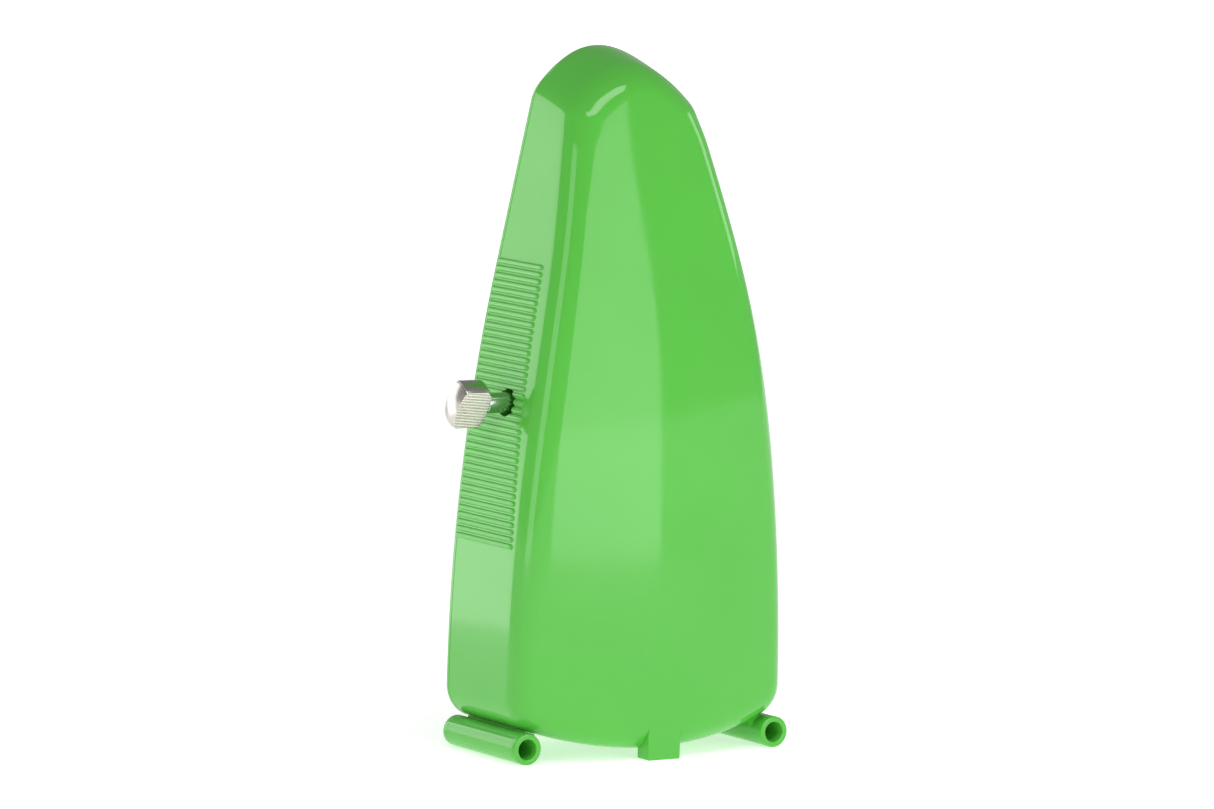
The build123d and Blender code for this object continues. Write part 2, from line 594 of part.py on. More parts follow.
with BuildPart() as cock_screws:
    for z in COCK_SCREW_Z:
        for seat, inward in ((front_bridge_y[0], 1), (back_bridge_y[1], -1)):
            shank = sorted((seat, seat + inward * (BRIDGE_THICKNESS + COCK_SCREW_GRIP)))
            head = sorted((seat, seat - inward * COCK_SCREW_HEAD[1]))
            add(y_bar(COCK_SCREW_RADIUS, shank, cock_screw_x, z))
            add(y_bar(COCK_SCREW_HEAD[0], head, cock_screw_x, z))
finish_part(cock_screws.part, "cock_screws")

x_bushes = [(left_plate_x, z, radius) for z, radius in arbor_holes + [(CROWN_Z, ARBOR_RADIUS)]]
x_bushes += [(right_plate_x, z, radius) for z, radius in arbor_holes] + [(COCK_X, CROWN_Z, ARBOR_RADIUS)]
with BuildPart() as bushes:
    for x_range, z, radius in x_bushes:
        add(x_bar(radius + BUSH_WALL, x_range, MOVEMENT_Y, z))
        add(x_bar(radius + RUNNING, x_range, MOVEMENT_Y, z), mode=Mode.SUBTRACT)
    for y_range in (front_bridge_y, back_bridge_y):
        add(y_bar(verge_hole, y_range, 0, CROWN_Z))
        add(y_bar(ARBOR_RADIUS + RUNNING, y_range, 0, CROWN_Z), mode=Mode.SUBTRACT)
finish_part(bushes.part, "arbor_bushes")

# ---------------------------------------------------------------- winding
winding_x = (left_plate_x[0] - ARBOR_END, KEY_STEM_X[0] + STEM_SOCKET)
winding_hub_x = (BARREL_X[0] + BARREL_WALL + HUB_GAP, CAP_X[0] - HUB_GAP)
with BuildPart() as winding_arbor:
    add(x_bar(WINDING_RADIUS, winding_x, MOVEMENT_Y, KEY_Z))
    add(x_bar(WINDING_HUB_RADIUS, winding_hub_x, MOVEMENT_Y, KEY_Z))
finish_part(winding_arbor.part, "winding_arbor")

with BuildPart() as ratchet:
    with BuildSketch(Plane.YZ.offset(RATCHET_X[0])):
        with Locations((MOVEMENT_Y, KEY_Z)):
            ratchet_points = []
            for index in range(RATCHET_TEETH):
                angle = radians(RATCHET_PHASE) + 2 * pi * index / RATCHET_TEETH
                for radius in (RATCHET_RADIUS - RATCHET_DEPTH, RATCHET_RADIUS):
                    ratchet_points.append((radius * cos(angle), radius * sin(angle)))
            Polygon(*ratchet_points, align=None)
            Circle(WINDING_RADIUS, mode=Mode.SUBTRACT)
    extrude(amount=RATCHET_X[1] - RATCHET_X[0])
finish_part(ratchet.part, "ratchet_wheel")

with BuildPart() as key_stem:
    add(x_bar(KEY_STEM_RADIUS, KEY_STEM_X, MOVEMENT_Y, KEY_Z))
    add(x_bar(WINDING_RADIUS, (KEY_STEM_X[0], winding_x[1]), MOVEMENT_Y, KEY_Z), mode=Mode.SUBTRACT)
finish_part(key_stem.part, "key_stem")

# The head is turned with a domed end, then milled with two flats.
key_tip_x = KEY_HEAD_X[1] + KEY_DOME
dome_radius = (KEY_HEAD_RADIUS**2 + KEY_DOME**2) / (2 * KEY_DOME)
with BuildPart() as key_head:
    add(x_bar(KEY_HEAD_RADIUS, (KEY_HEAD_X[0], key_tip_x), MOVEMENT_Y, KEY_Z))
    chamfer(key_head.edges().sort_by(Axis.X)[0], KEY_CHAMFER)
    with Locations((key_tip_x - dome_radius, MOVEMENT_Y, KEY_Z)):
        Sphere(dome_radius, rotation=(0, 90, 0), mode=Mode.INTERSECT)
    with Locations(Location((key_tip_x, MOVEMENT_Y, KEY_Z), (-KEY_TURN, 0, 0))):
        for side in (-1, 1):
            with Locations((0, side * (KEY_FLAT + KEY_HEAD_RADIUS), 0)):
                Box(4 * KEY_HEAD_RADIUS, 2 * KEY_HEAD_RADIUS, 4 * KEY_HEAD_RADIUS, mode=Mode.SUBTRACT)
    add(x_bar(KEY_STEM_RADIUS, (KEY_HEAD_X[0], KEY_STEM_X[1]), MOVEMENT_Y, KEY_Z), mode=Mode.SUBTRACT)
finish_part(key_head.part, "key_head")

nose_y, nose_z = CLICK_NOSE
pivot_y, pivot_z = CLICK_PIVOT
click_end_x = RATCHET_X[1] + CLICK_SIDE_PLAY
with BuildPart() as click:
    with BuildSketch(Plane.YZ.offset(RATCHET_X[0])):
        with BuildLine():
            Polyline(
                CLICK_NOSE, (nose_y + 0.2, nose_z + 1.6), (pivot_y - 0.6, pivot_z + 1.7),
                CLICK_PIVOT, (pivot_y - 0.6, pivot_z - 1.2), CLICK_NOSE,
            )
        make_face()
        with Locations(CLICK_PIVOT):
            Circle(CLICK_RADIUS)
            Circle(CLICK_BORE_RADIUS, mode=Mode.SUBTRACT)
    extrude(amount=RATCHET_X[1] - RATCHET_X[0])
finish_part(click.part, "click")

with BuildPart() as click_screw:
    add(x_bar(SCREW_RADIUS, (right_plate_x[0], right_plate_x[1]), *CLICK_PIVOT))
    add(x_bar(CLICK_BORE_RADIUS - RUNNING, (right_plate_x[1], click_end_x), *CLICK_PIVOT))
    add(x_bar(CLICK_SCREW_HEAD_RADIUS, (click_end_x, click_end_x + SCREW_HEAD_HEIGHT), *CLICK_PIVOT))
finish_part(click_screw.part, "click_screw")

spring_foot_y, spring_foot_z = CLICK_SPRING_FOOT
spring_tip_y, spring_tip_z = CLICK_SPRING_TIP
with BuildPart() as click_spring:
    with BuildSketch(Plane.YZ.offset((sum(RATCHET_X) - CLICK_SPRING_WIDTH) / 2)):
        Polygon(
            CLICK_SPRING_FOOT, CLICK_SPRING_TIP, (spring_tip_y, spring_tip_z + CLICK_SPRING_THICKNESS),
            (spring_foot_y, spring_foot_z + CLICK_SPRING_THICKNESS), align=None,
        )
    extrude(amount=CLICK_SPRING_WIDTH)
    add(x_bar(CLICK_SPRING_POST, (right_plate_x[1], RATCHET_X[1]), *CLICK_SPRING_FOOT))
finish_part(click_spring.part, "click_spring")

# ---------------------------------------------------------------- barrel
WHEEL_PHASE = radians(-90)
PINION_PHASE = radians(90) + pi / PINION_TEETH
great = gear(GREAT_TEETH, GREAT_WHEEL_X, KEY_Z, WHEEL_PHASE, WINDING_RADIUS + RUNNING)
finish_part(crossed_out(great, KEY_Z, *GREAT_HOLES), "great_wheel")

barrel_inside_x = (BARREL_X[0] + BARREL_WALL, BARREL_X[1])
with BuildPart() as barrel:
    add(x_bar(BARREL_RADIUS, BARREL_X, MOVEMENT_Y, KEY_Z))
    add(x_bar(BARREL_RADIUS - BARREL_WALL, barrel_inside_x, MOVEMENT_Y, KEY_Z), mode=Mode.SUBTRACT)
    add(x_bar(WINDING_RADIUS + RUNNING, BARREL_X, MOVEMENT_Y, KEY_Z), mode=Mode.SUBTRACT)
finish_part(barrel.part, "spring_barrel")

with BuildPart() as barrel_cap:
    add(x_bar(BARREL_RADIUS, CAP_X, MOVEMENT_Y, KEY_Z))
    add(x_bar(WINDING_RADIUS + RUNNING, CAP_X, MOVEMENT_Y, KEY_Z), mode=Mode.SUBTRACT)
finish_part(barrel_cap.part, "barrel_cap")

spring_start = WINDING_HUB_RADIUS + SPRING_GAP
spring_end = BARREL_RADIUS - BARREL_WALL - SPRING_THICKNESS - SPRING_GAP
spring_pitch = (spring_end - spring_start) / SPRING_TURNS
spiral = []
for extra in (0, SPRING_THICKNESS):
    steps = [index / SPRING_STEPS for index in range(SPRING_TURNS * SPRING_STEPS + 1)]
    spiral.append([
        ((spring_start + extra + spring_pitch * step) * cos(2 * pi * step),
         (spring_start + extra + spring_pitch * step) * sin(2 * pi * step)) for step in steps
    ])
with BuildPart() as mainspring:
    with BuildSketch(Plane.YZ.offset(barrel_inside_x[0] + SPRING_GAP)):
        with Locations((MOVEMENT_Y, KEY_Z)):
            Polygon(*spiral[0], *reversed(spiral[1]), align=None)
    extrude(amount=barrel_inside_x[1] - barrel_inside_x[0] - 2 * SPRING_GAP)
finish_part(mainspring.part, "mainspring")

# ---------------------------------------------------------------- train
arbor_end_x = right_plate_x[1] + ARBOR_END
crown_arbor_x = (-arbor_end_x, CROWN_DISC_X[1] + ARBOR_END)
finish_part(x_bar(ARBOR_RADIUS, (-arbor_end_x, arbor_end_x), MOVEMENT_Y, CENTRE_Z), "centre_arbor")
finish_part(gear(PINION_TEETH, CENTRE_PINION_X, CENTRE_Z, PINION_PHASE, ARBOR_RADIUS), "centre_pinion")
centre = gear(CENTRE_TEETH, CENTRE_WHEEL_X, CENTRE_Z, WHEEL_PHASE, ARBOR_RADIUS)
finish_part(crossed_out(centre, CENTRE_Z, *CENTRE_HOLES), "centre_wheel")

finish_part(x_bar(ARBOR_RADIUS, crown_arbor_x, MOVEMENT_Y, CROWN_Z), "crown_arbor")
finish_part(gear(PINION_TEETH, CROWN_PINION_X, CROWN_Z, PINION_PHASE, ARBOR_RADIUS), "crown_pinion")

crown_middle = (CROWN_OUTER + CROWN_INNER) / 2
tooth_gap = 2 * pi * crown_middle / CROWN_TEETH - CROWN_TIP_WIDTH
tooth_planes = []
for index in range(CROWN_TEETH):
    angle = 2 * pi * index / CROWN_TEETH
    radial = (0, cos(angle), sin(angle))
    around = (0, -sin(angle), cos(angle))
    tooth_planes.append(Plane((CROWN_TIP_X, MOVEMENT_Y, CROWN_Z), x_dir=around, z_dir=radial))
with BuildPart() as crown_wheel:
    add(x_bar(CROWN_OUTER, (CROWN_DISC_X[0], CROWN_TIP_X), MOVEMENT_Y, CROWN_Z))
    add(x_bar(CROWN_INNER, (CROWN_DISC_X[1], CROWN_TIP_X), MOVEMENT_Y, CROWN_Z), mode=Mode.SUBTRACT)
    add(x_bar(ARBOR_RADIUS, (CROWN_DISC_X[0], CROWN_DISC_X[1]), MOVEMENT_Y, CROWN_Z), mode=Mode.SUBTRACT)
    with BuildSketch(*tooth_planes):
        with BuildLine():
            Polyline((0, 0.5), (0, -CROWN_TOOTH_DEPTH), (tooth_gap, 0), (tooth_gap, 0.5), (0, 0.5))
        make_face()
    extrude(amount=CROWN_OUTER + 1, mode=Mode.SUBTRACT)
finish_part(crossed_out(crown_wheel.part, CROWN_Z, *CROWN_HOLES), "crown_wheel")

# ---------------------------------------------------------------- pendulum
finish_part(y_bar(ARBOR_RADIUS, (VERGE_FRONT_Y, PLATE_BACK_Y + ARBOR_END), 0, CROWN_Z), "verge")

with BuildPart() as pallets:
    for y, angle in ((MOVEMENT_Y - crown_middle, 135), (MOVEMENT_Y + crown_middle, 225)):
        flag_x, flag_z = PALLET_REACH / 2 * cos(radians(angle)), PALLET_REACH / 2 * sin(radians(angle))
        with BuildSketch(Plane.XZ.offset(-y - PALLET_WIDTH / 2)):
            with Locations((0, CROWN_Z)):
                Circle(PALLET_COLLAR)
                with Locations((flag_x, flag_z)):
                    Rectangle(PALLET_REACH, PALLET_THICKNESS, rotation=angle)
                Circle(ARBOR_RADIUS, mode=Mode.SUBTRACT)
        extrude(amount=PALLET_WIDTH)
finish_part(pallets.part, "pallets")

with BuildPart() as hub:
    add(y_bar(HUB_RADIUS, HUB_Y, 0, CROWN_Z))
    add(y_bar(ARBOR_RADIUS, (VERGE_FRONT_Y, HUB_Y[1]), 0, CROWN_Z), mode=Mode.SUBTRACT)
    add(y_bar(SCREW_RADIUS, (HUB_Y[0], ROD_Y), 0, CROWN_Z), mode=Mode.SUBTRACT)
    with Locations((0, ROD_Y, CROWN_Z)):
        Cylinder(ROD_RADIUS, 4 * HUB_RADIUS, mode=Mode.SUBTRACT)
finish_part(hub.part, "pendulum_hub")
hub_screw_length = ROD_Y - ROD_RADIUS - SCREW_TIP_GAP - HUB_Y[0]
finish_part(screws_along_y([(0, CROWN_Z)], HUB_Y[0], hub_screw_length, -1), "hub_screw")

with BuildPart() as rod:
    with Locations((0, ROD_Y, ROD_BOTTOM_Z)):
        Cylinder(ROD_RADIUS, ROD_TOP_Z - ROD_BOTTOM_Z, align=(Align.CENTER, Align.CENTER, Align.MIN))
finish_part(rod.part, "pendulum_rod")

bob_y = (ROD_Y - BOB_THICKNESS / 2, ROD_Y + BOB_THICKNESS / 2)
with BuildPart() as bob:
    add(y_bar(BOB_RADIUS, bob_y, 0, BOB_Z))
    chamfer(bob.edges().filter_by(GeomType.CIRCLE), BOB_CHAMFER)
    with Locations((0, ROD_Y, BOB_Z)):
        Cylinder(ROD_RADIUS, 4 * BOB_RADIUS, mode=Mode.SUBTRACT)
    add(x_bar(SCREW_RADIUS, (0, BOB_RADIUS), ROD_Y, BOB_Z), mode=Mode.SUBTRACT)
    add(x_bar(SCREW_HEAD_RADIUS, (BOB_SCREW_SEAT, BOB_RADIUS), ROD_Y, BOB_Z), mode=Mode.SUBTRACT)
finish_part(bob.part, "lower_bob")
bob_screw_length = BOB_SCREW_SEAT - ROD_RADIUS - SCREW_TIP_GAP
finish_part(screws_along_x([(ROD_Y, BOB_Z)], BOB_SCREW_SEAT, bob_screw_length, 1), "bob_screw")

weight_low, weight_high = WEIGHT_Z - WEIGHT_HEIGHT / 2, WEIGHT_Z + WEIGHT_HEIGHT / 2
with BuildPart() as weight:
    with BuildSketch(Plane.XZ.offset(-WEIGHT_Y[1])):
        Polygon(
            (-WEIGHT_BOTTOM_WIDTH / 2, weight_low), (WEIGHT_BOTTOM_WIDTH / 2, weight_low),
            (WEIGHT_TOP_WIDTH / 2, weight_high), (-WEIGHT_TOP_WIDTH / 2, weight_high), align=None,
        )
    extrude(amount=WEIGHT_Y[1] - WEIGHT_Y[0])
    chamfer(weight.edges(), WEIGHT_CHAMFER)
    with Locations((0, ROD_Y, WEIGHT_Z)):
        Cylinder(ROD_RADIUS + RUNNING, 2 * WEIGHT_HEIGHT, mode=Mode.SUBTRACT)
    add(box_between(
        (-POCKET_HALF_WIDTH, ROD_Y - ROD_RADIUS - POCKET_DEPTH, WEIGHT_Z - POCKET_HALF_HEIGHT),
        (POCKET_HALF_WIDTH, ROD_Y, WEIGHT_Z + POCKET_HALF_HEIGHT),
    ), mode=Mode.SUBTRACT)
finish_part(weight.part, "sliding_weight")

# The friction spring lies in the pocket in front of the rod: a flat leaf with a pad towards the rod.
rod_front_y = ROD_Y - ROD_RADIUS
leaf_y = (rod_front_y - POCKET_DEPTH + PAD_GAP, rod_front_y - POCKET_DEPTH + PAD_GAP + LEAF_THICKNESS)
leaf_half_height = POCKET_HALF_HEIGHT - PAD_GAP
with BuildPart() as weight_spring:
    add(box_between(
        (-POCKET_HALF_WIDTH, leaf_y[0], WEIGHT_Z - leaf_half_height),
        (POCKET_HALF_WIDTH, leaf_y[1], WEIGHT_Z + leaf_half_height),
    ))
    add(box_between(
        (-POCKET_HALF_WIDTH, leaf_y[1], WEIGHT_Z - PAD_HALF_HEIGHT),
        (POCKET_HALF_WIDTH, rod_front_y - PAD_GAP, WEIGHT_Z + PAD_HALF_HEIGHT),
    ))
finish_part(weight_spring.part, "weight_spring")
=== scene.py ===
import json
import math

import bmesh
import bpy
import numpy as np
from bpy.props import FloatProperty, FloatVectorProperty, IntProperty, PointerProperty
from mathutils import Matrix, Vector


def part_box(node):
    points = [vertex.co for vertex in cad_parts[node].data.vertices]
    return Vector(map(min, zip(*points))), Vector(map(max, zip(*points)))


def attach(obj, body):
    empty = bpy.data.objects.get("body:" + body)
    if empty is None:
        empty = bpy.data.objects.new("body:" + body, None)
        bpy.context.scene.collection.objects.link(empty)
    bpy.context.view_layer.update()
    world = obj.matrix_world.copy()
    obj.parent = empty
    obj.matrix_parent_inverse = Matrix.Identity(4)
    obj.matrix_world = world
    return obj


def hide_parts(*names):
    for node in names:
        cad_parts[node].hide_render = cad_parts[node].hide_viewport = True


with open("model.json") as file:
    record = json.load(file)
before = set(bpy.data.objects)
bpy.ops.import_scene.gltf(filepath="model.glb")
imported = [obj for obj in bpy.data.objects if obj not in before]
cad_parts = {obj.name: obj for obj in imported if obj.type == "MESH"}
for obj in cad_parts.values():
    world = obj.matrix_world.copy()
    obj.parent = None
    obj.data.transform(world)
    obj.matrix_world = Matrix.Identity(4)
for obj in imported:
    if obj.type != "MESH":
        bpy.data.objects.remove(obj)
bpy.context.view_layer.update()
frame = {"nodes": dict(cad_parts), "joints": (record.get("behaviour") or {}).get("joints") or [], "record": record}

bl_info = {
    "name": "Pocket Metronome",
    "version": (1, 0, 0),
    "blender": (4, 5, 0),
    "location": "View3D > Sidebar > Metronome",
    "description": "Moulded case, feet, key, dial and pendulum of a pocket clockwork metronome",
    "category": "Add Mesh",
}

MM = 0.001


def node_box(node):
    """Lowest and highest corner of a CAD node, as two arrays in metres."""
    low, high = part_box(node)
    return np.array(low), np.array(high)


CASE_LOW, CASE_HIGH = node_box("rear_case")
FRAME_LOW, FRAME_HIGH = node_box("front_frame")
DIAL_LOW, DIAL_HIGH = node_box("dial_plate")
APRON_LOW, APRON_HIGH = node_box("front_apron")
TUBE_LOW, TUBE_HIGH = node_box("foot_tube_right")
HEAD_LOW, HEAD_HIGH = node_box("key_head")
STEM_LOW, STEM_HIGH = node_box("key_stem")
ROD_LOW, ROD_HIGH = node_box("pendulum_rod")
WEIGHT_LOW, WEIGHT_HIGH = node_box("sliding_weight")
HUB_LOW, HUB_HIGH = node_box("pendulum_hub")
CLIP_LOW, CLIP_HIGH = node_box("pendulum_clip")
BRIDGE_HIGH = node_box("rear_bridge")[1]
SPRING_LOW, SPRING_HIGH = node_box("weight_spring")

RIM_Y = CASE_LOW[1]
KEY_Y, KEY_Z = (STEM_LOW[1] + STEM_HIGH[1]) / 2, (STEM_LOW[2] + STEM_HIGH[2]) / 2
ROD_Y = (ROD_LOW[1] + ROD_HIGH[1]) / 2
PIVOT_Z = (HUB_LOW[2] + HUB_HIGH[2]) / 2

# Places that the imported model's boxes don't give.
PEG_X, PEG_Y = 29.2 * MM, (-27 * MM, -12 * MM)
PEG_RADIUS, PEG_TOP = 0.9 * MM, 9.6 * MM
SADDLE_X, SADDLE_Z = (28.5 * MM, 31.5 * MM), 4.5 * MM
BOSS_X, BOSS_Z = 12 * MM, (53.6 * MM, 90.4 * MM)
ROD_SLOT = 7 * MM
CLIP_FACE = -34.6 * MM
NUMERAL_SCALE = 1.35   # font size for each unit of a printed number's height
STROKE = 0.22 * MM   # thickness of a printed mark
WEIGHT_TAPER = 9 / 14   # lower width of the sliding weight for each unit of its upper width
ROOF_FULL = 0.7   # share of the roof's height over which its drop grows to the full amount
ROOF_POWER = 1.4   # how late the drop comes between the rim and the back
RIB_DOME = 0.55   # share of a rib's points that lie on its straight run
SHADE = 0.86   # darkest drift of a moulded colour
SWEEP_REACH, SWEEP_STEPS = 8.0, 9   # half size and rows of the floor
SWEEP_NEAR, SWEEP_FAR, SWEEP_WHITE = 0.4, 2.5, 0.9   # where the floor's glow rises, and to what
FIT_GAP = 0.05 * MM   # between parts that slip together
SMOOTH_ANGLE = 35   # degrees; sharper edges than this stay hard
COVER_SCREWS = [(-22 * MM, 16 * MM), (22 * MM, 16 * MM), (-21 * MM, 55 * MM), (21 * MM, 55 * MM)]
PIN_PLACES = [(-20.5 * MM, 100 * MM), (20.5 * MM, 100 * MM), (-11.5 * MM, 138 * MM), (11.5 * MM, 138 * MM)]
TEMPI = (40, 42, 44, 46, 48, 50, 52, 54, 56, 58, 60, 63, 66, 69, 72, 76, 80, 84, 88, 92, 96, 100, 104, 108,
         112, 116,
         120, 126, 132, 138, 144, 152, 160, 168, 176, 184, 192, 200, 208)


# ------------------------------------------------------------------ settings
def length(label, note, default):
    return FloatProperty(name=label, description=note, default=default, unit="LENGTH")


def angle(label, note, degrees):
    return FloatProperty(name=label, description=note, default=math.radians(degrees), unit="ROTATION")


def colour(label, note, default):
    return FloatVectorProperty(name=label, description=note, default=default, subtype="COLOR", size=3, min=0,
                               max=1)


class CaseSettings(bpy.types.PropertyGroup):
    """The moulded rear case: a tall outline of tangent arcs, with a barrelled back."""
    height: length("Height", "From the surface it stands on to the ridge", CASE_HIGH[2])
    half_width: length("Half width", "Middle plane to the widest point of the side", 36.1 * MM)
    wall: length("Wall", "Thickness of the moulding", 1.8 * MM)
    sole: length("Sole height", "Lowest point of the curved underside", 2.0 * MM)
    sole_radius: length("Sole radius", "Curve of the underside", 98 * MM)
    corner: length("Bottom corner", "Rounding between side and underside", 8 * MM)
    crown: length("Crown radius", "Barrelling of the back across its width", 112 * MM)
    edge: length("Back edge", "Rounding between side and back", 6.8 * MM)
    foot_width: length("Rear foot width", "Tab under the back", 8.5 * MM)
    hole: length("Key hole radius", "Round hole for the winding stem", 3.18 * MM)
    hip_drop: length("Roof drop", "How much lower the roof is at the back than at the rim", 5.0 * MM)
    hip_from: length("Roof foot", "Height below which nothing drops", 137 * MM)


class GripSettings(bpy.types.PropertyGroup):
    """The half-round ribs moulded on both sides."""
    count: IntProperty(name="Ribs", description="Ribs on each side", default=40, min=2)
    pitch: length("Pitch", "Middle of one rib to the next", 1.6 * MM)
    middle: length("Middle height", "Middle of the ribbed grip", 80.1 * MM)
    radius: length("Rib radius", "Half-round section", 0.68 * MM)
    proud: length("Proud", "How far a rib stands off the side", 0.5 * MM)
    rear_low: length("Rear end, lowest rib", "Y where the lowest rib ends", -8.9 * MM)
    rear_high: length("Rear end, highest rib", "Y where the highest rib ends", -14.0 * MM)


class FeetSettings(bpy.types.PropertyGroup):
    """The two open tubes that the case stands on."""
    radius: length("Tube radius", "Outside", 3.57 * MM)
    bore: length("Bore radius", "Inside", 2.33 * MM)
    bore_length: length("Bore length", "From the open rear end", 29 * MM)
    nose: length("Nose rounding", "Rounded closed front end", 1.1 * MM)
    collar: length("Collar", "Front end to the faint parting ring", 2.2 * MM)


class FrontSettings(bpy.types.PropertyGroup):
    """The frame round the dial and the cover over the lower bob."""
    bevel: length("Frame rounding", "Outer front edge of the frame", 1.9 * MM)
    band: length("Frame band", "Width of the frame seen from the front", 5.0 * MM)
    dial_inset: length("Dial inset", "Case outline to the edge of the dial", 3.5 * MM)
    apron_inset: length("Cover inset", "Case outline to the edge of the lower cover", 5.4 * MM)
    apron_bevel: length("Cover rounding", "Front edge of the lower cover", 1.4 * MM)
    apron_wall: length("Cover wall", "Thickness of the lower cover", 1.6 * MM)


class DialSettings(bpy.types.PropertyGroup):
    """The printed tempo scale."""
    numeral: length("Numeral height", "Height of the printed numbers", 2.1 * MM)
    ink: length("Ink thickness", "How far the print stands off the dial", 0.03 * MM)


class KeySettings(bpy.types.PropertyGroup):
    """The winding key: a turned head with two grooved flats on a plain stem."""
    radius: length("Head radius", "Turned head", 5.5 * MM)
    dome: length("Dome", "How far the outer end bulges", 1.3 * MM)
    chamfer: length("Chamfer", "Inner end of the head", 1.2 * MM)
    flat: length("Half thickness", "Middle to each flat", 2.6 * MM)
    lean: angle("Lean", "Turn of the head from upright, at rest", 30)
    grooves: IntProperty(name="Grooves", description="Grooves on each flat", default=23, min=2)
    groove_pitch: length("Groove pitch", "Middle of one groove to the next", 0.44 * MM)
    groove_depth: length("Groove depth", "Depth of each groove", 0.08 * MM)


class FinishSettings(bpy.types.PropertyGroup):
    """Colours of the finishes."""
    green: colour("Case green", "Glossy moulded plastic", (0.096, 0.515, 0.054))
    dial: colour("Dial", "Satin printed plastic", (0.86, 0.86, 0.83))
    ink: colour("Ink", "Printed numbers and marks", (0.015, 0.015, 0.018))
    clip: colour("Clip", "Dark moulded plastic", (0.02, 0.02, 0.022))
    nickel: colour("Nickel", "Plated key and weight", (0.52, 0.49, 0.445))
    steel: colour("Steel", "Polished arbors and rod", (0.56, 0.56, 0.57))
    brass: colour("Brass", "Frame and wheels", (0.78, 0.57, 0.24))
    blued: colour("Blued steel", "Springs", (0.09, 0.13, 0.28))


class StageSettings(bpy.types.PropertyGroup):
    """The viewing angle and the studio."""
    azimuth: angle("Azimuth", "Camera direction round the object", 148)
    elevation: angle("Elevation", "Camera height above the horizon", 6.515)
    roll: angle("Roll", "Camera roll", 1.427)
    distance: length("Distance", "Camera to the point it looks at", 1742.3 * MM)
    lens: FloatProperty(name="Lens", description="Focal length in millimetres", default=228.25)
    target: FloatVectorProperty(name="Target", description="Point that the camera looks at", size=3,
                                default=(10.295 * MM, -9.436 * MM, 80.293 * MM), subtype="XYZ")
    floor: colour("Floor", "Plain pale floor", (0.93, 0.93, 0.93))
    ambient: FloatProperty(name="Ambient", description="Brightness of the surroundings at eye level",
                           default=0.53)
    zenith: FloatProperty(name="Zenith", description="Brightness of the surroundings overhead", default=0.3)
    # The floor glow is painted light: emission on the floor that stands in for light bounced from a white sweep.
    glow: FloatProperty(name="Floor glow", description="Light that the white sweep gives back", default=0.52)


SETTINGS = {
    "metronome_case": CaseSettings, "metronome_grips": GripSettings, "metronome_feet": FeetSettings,
    "metronome_front": FrontSettings, "metronome_dial": DialSettings, "metronome_key": KeySettings,
    "metronome_finish": FinishSettings, "metronome_stage": StageSettings,
}
ROOF_RADII = [(15.0 * MM, 30.0), (29.5 * MM, 20.0), (9.0 * MM, 27.5)]   # radius and turn, from the ridge down
BACK_PROFILE = [(-1, 2.5), (60, 1.6), (93, -0.5), (115, -4.3), (136, -10), (164, -18.4)]   # height and Y, mm
STRETCH_STEPS = (16, 14, 16, 26, 60, 22, 18)
RIB_STEPS = 20


def settings(name):
    return getattr(bpy.context.scene, "metronome_" + name)


# ------------------------------------------------------------------ mesh helpers
def new_piece(name, points, faces, smooth_angle=SMOOTH_ANGLE):
    """A smooth closed mesh object with its normals pointing out and hard edges kept sharp."""
    mesh = bpy.data.meshes.new(name)
    mesh.from_pydata([tuple(p) for p in points], [], faces)
    piece = linked(name, mesh)
    tidy_mesh(piece, smooth_angle)
    return piece


def linked(name, data):
    """An object in the scene that holds a mesh, a light or a camera."""
    made = bpy.data.objects.new(name, data)
    bpy.context.scene.collection.objects.link(made)
    return made


def tidy_mesh(piece, smooth_angle=SMOOTH_ANGLE, weld=1e-6):
    """Welds doubles, drops loose bits, turns faces outwards and sets smooth shading by angle."""
    work = bmesh.new()
    work.from_mesh(piece.data)
    bmesh.ops.remove_doubles(work, verts=work.verts, dist=weld)
    bmesh.ops.dissolve_degenerate(work, edges=work.edges, dist=weld)
    bmesh.ops.delete(work, geom=[v for v in work.verts if not v.link_faces], context="VERTS")
    bmesh.ops.recalc_face_normals(work, faces=work.faces)
    work.to_mesh(piece.data)
    work.free()
    piece.data.shade_smooth()
    piece.data.set_sharp_from_angle(angle=math.radians(smooth_angle))


def loop(x, y, z):
    """Points from three arrays, or from arrays and single numbers."""
    return np.stack(np.broadcast_arrays(x, y, z), axis=1)


def grid_faces(rows, columns, wrap_rows=False, wrap_columns=True, first=0):
    """Quads over a grid of points stored row by row."""
    faces = []
    for row in range(rows if wrap_rows else rows - 1):
        below = (row + 1) % rows
        for column in range(columns if wrap_columns else columns - 1):
            beside = (column + 1) % columns
            faces.append((
                first + row * columns + column, first + row * columns + beside,
                first + below * columns + beside, first + below * columns + column,
            ))
    return faces


def swept(name, rows, wrap_rows=False, smooth_angle=SMOOTH_ANGLE):
    """A piece skinned over rows of points, each row a closed loop."""
    rows = np.asarray(rows)
    faces = grid_faces(rows.shape[0], rows.shape[1], wrap_rows=wrap_rows)
    return new_piece(name, rows.reshape(-1, 3), faces, smooth_angle)


def lathe(name, profile, axis, centre, steps=64, smooth_angle=SMOOTH_ANGLE):
    """A piece turned about X, Y or Z through centre. The profile lists distance along the axis and radius."""
    along = "XYZ".index(axis)
    across = [(along + 1) % 3, (along + 2) % 3]
    turns = np.linspace(0, 2 * math.pi, steps, endpoint=False)
    rows = np.zeros((len(profile), steps, 3))
    for row, (distance, radius) in zip(rows, profile):
        row[:, along] = distance
        row[:, across[0]] = centre[across[0]] + radius * np.cos(turns)
        row[:, across[1]] = centre[across[1]] + radius * np.sin(turns)
    return swept(name, rows, smooth_angle=smooth_angle)


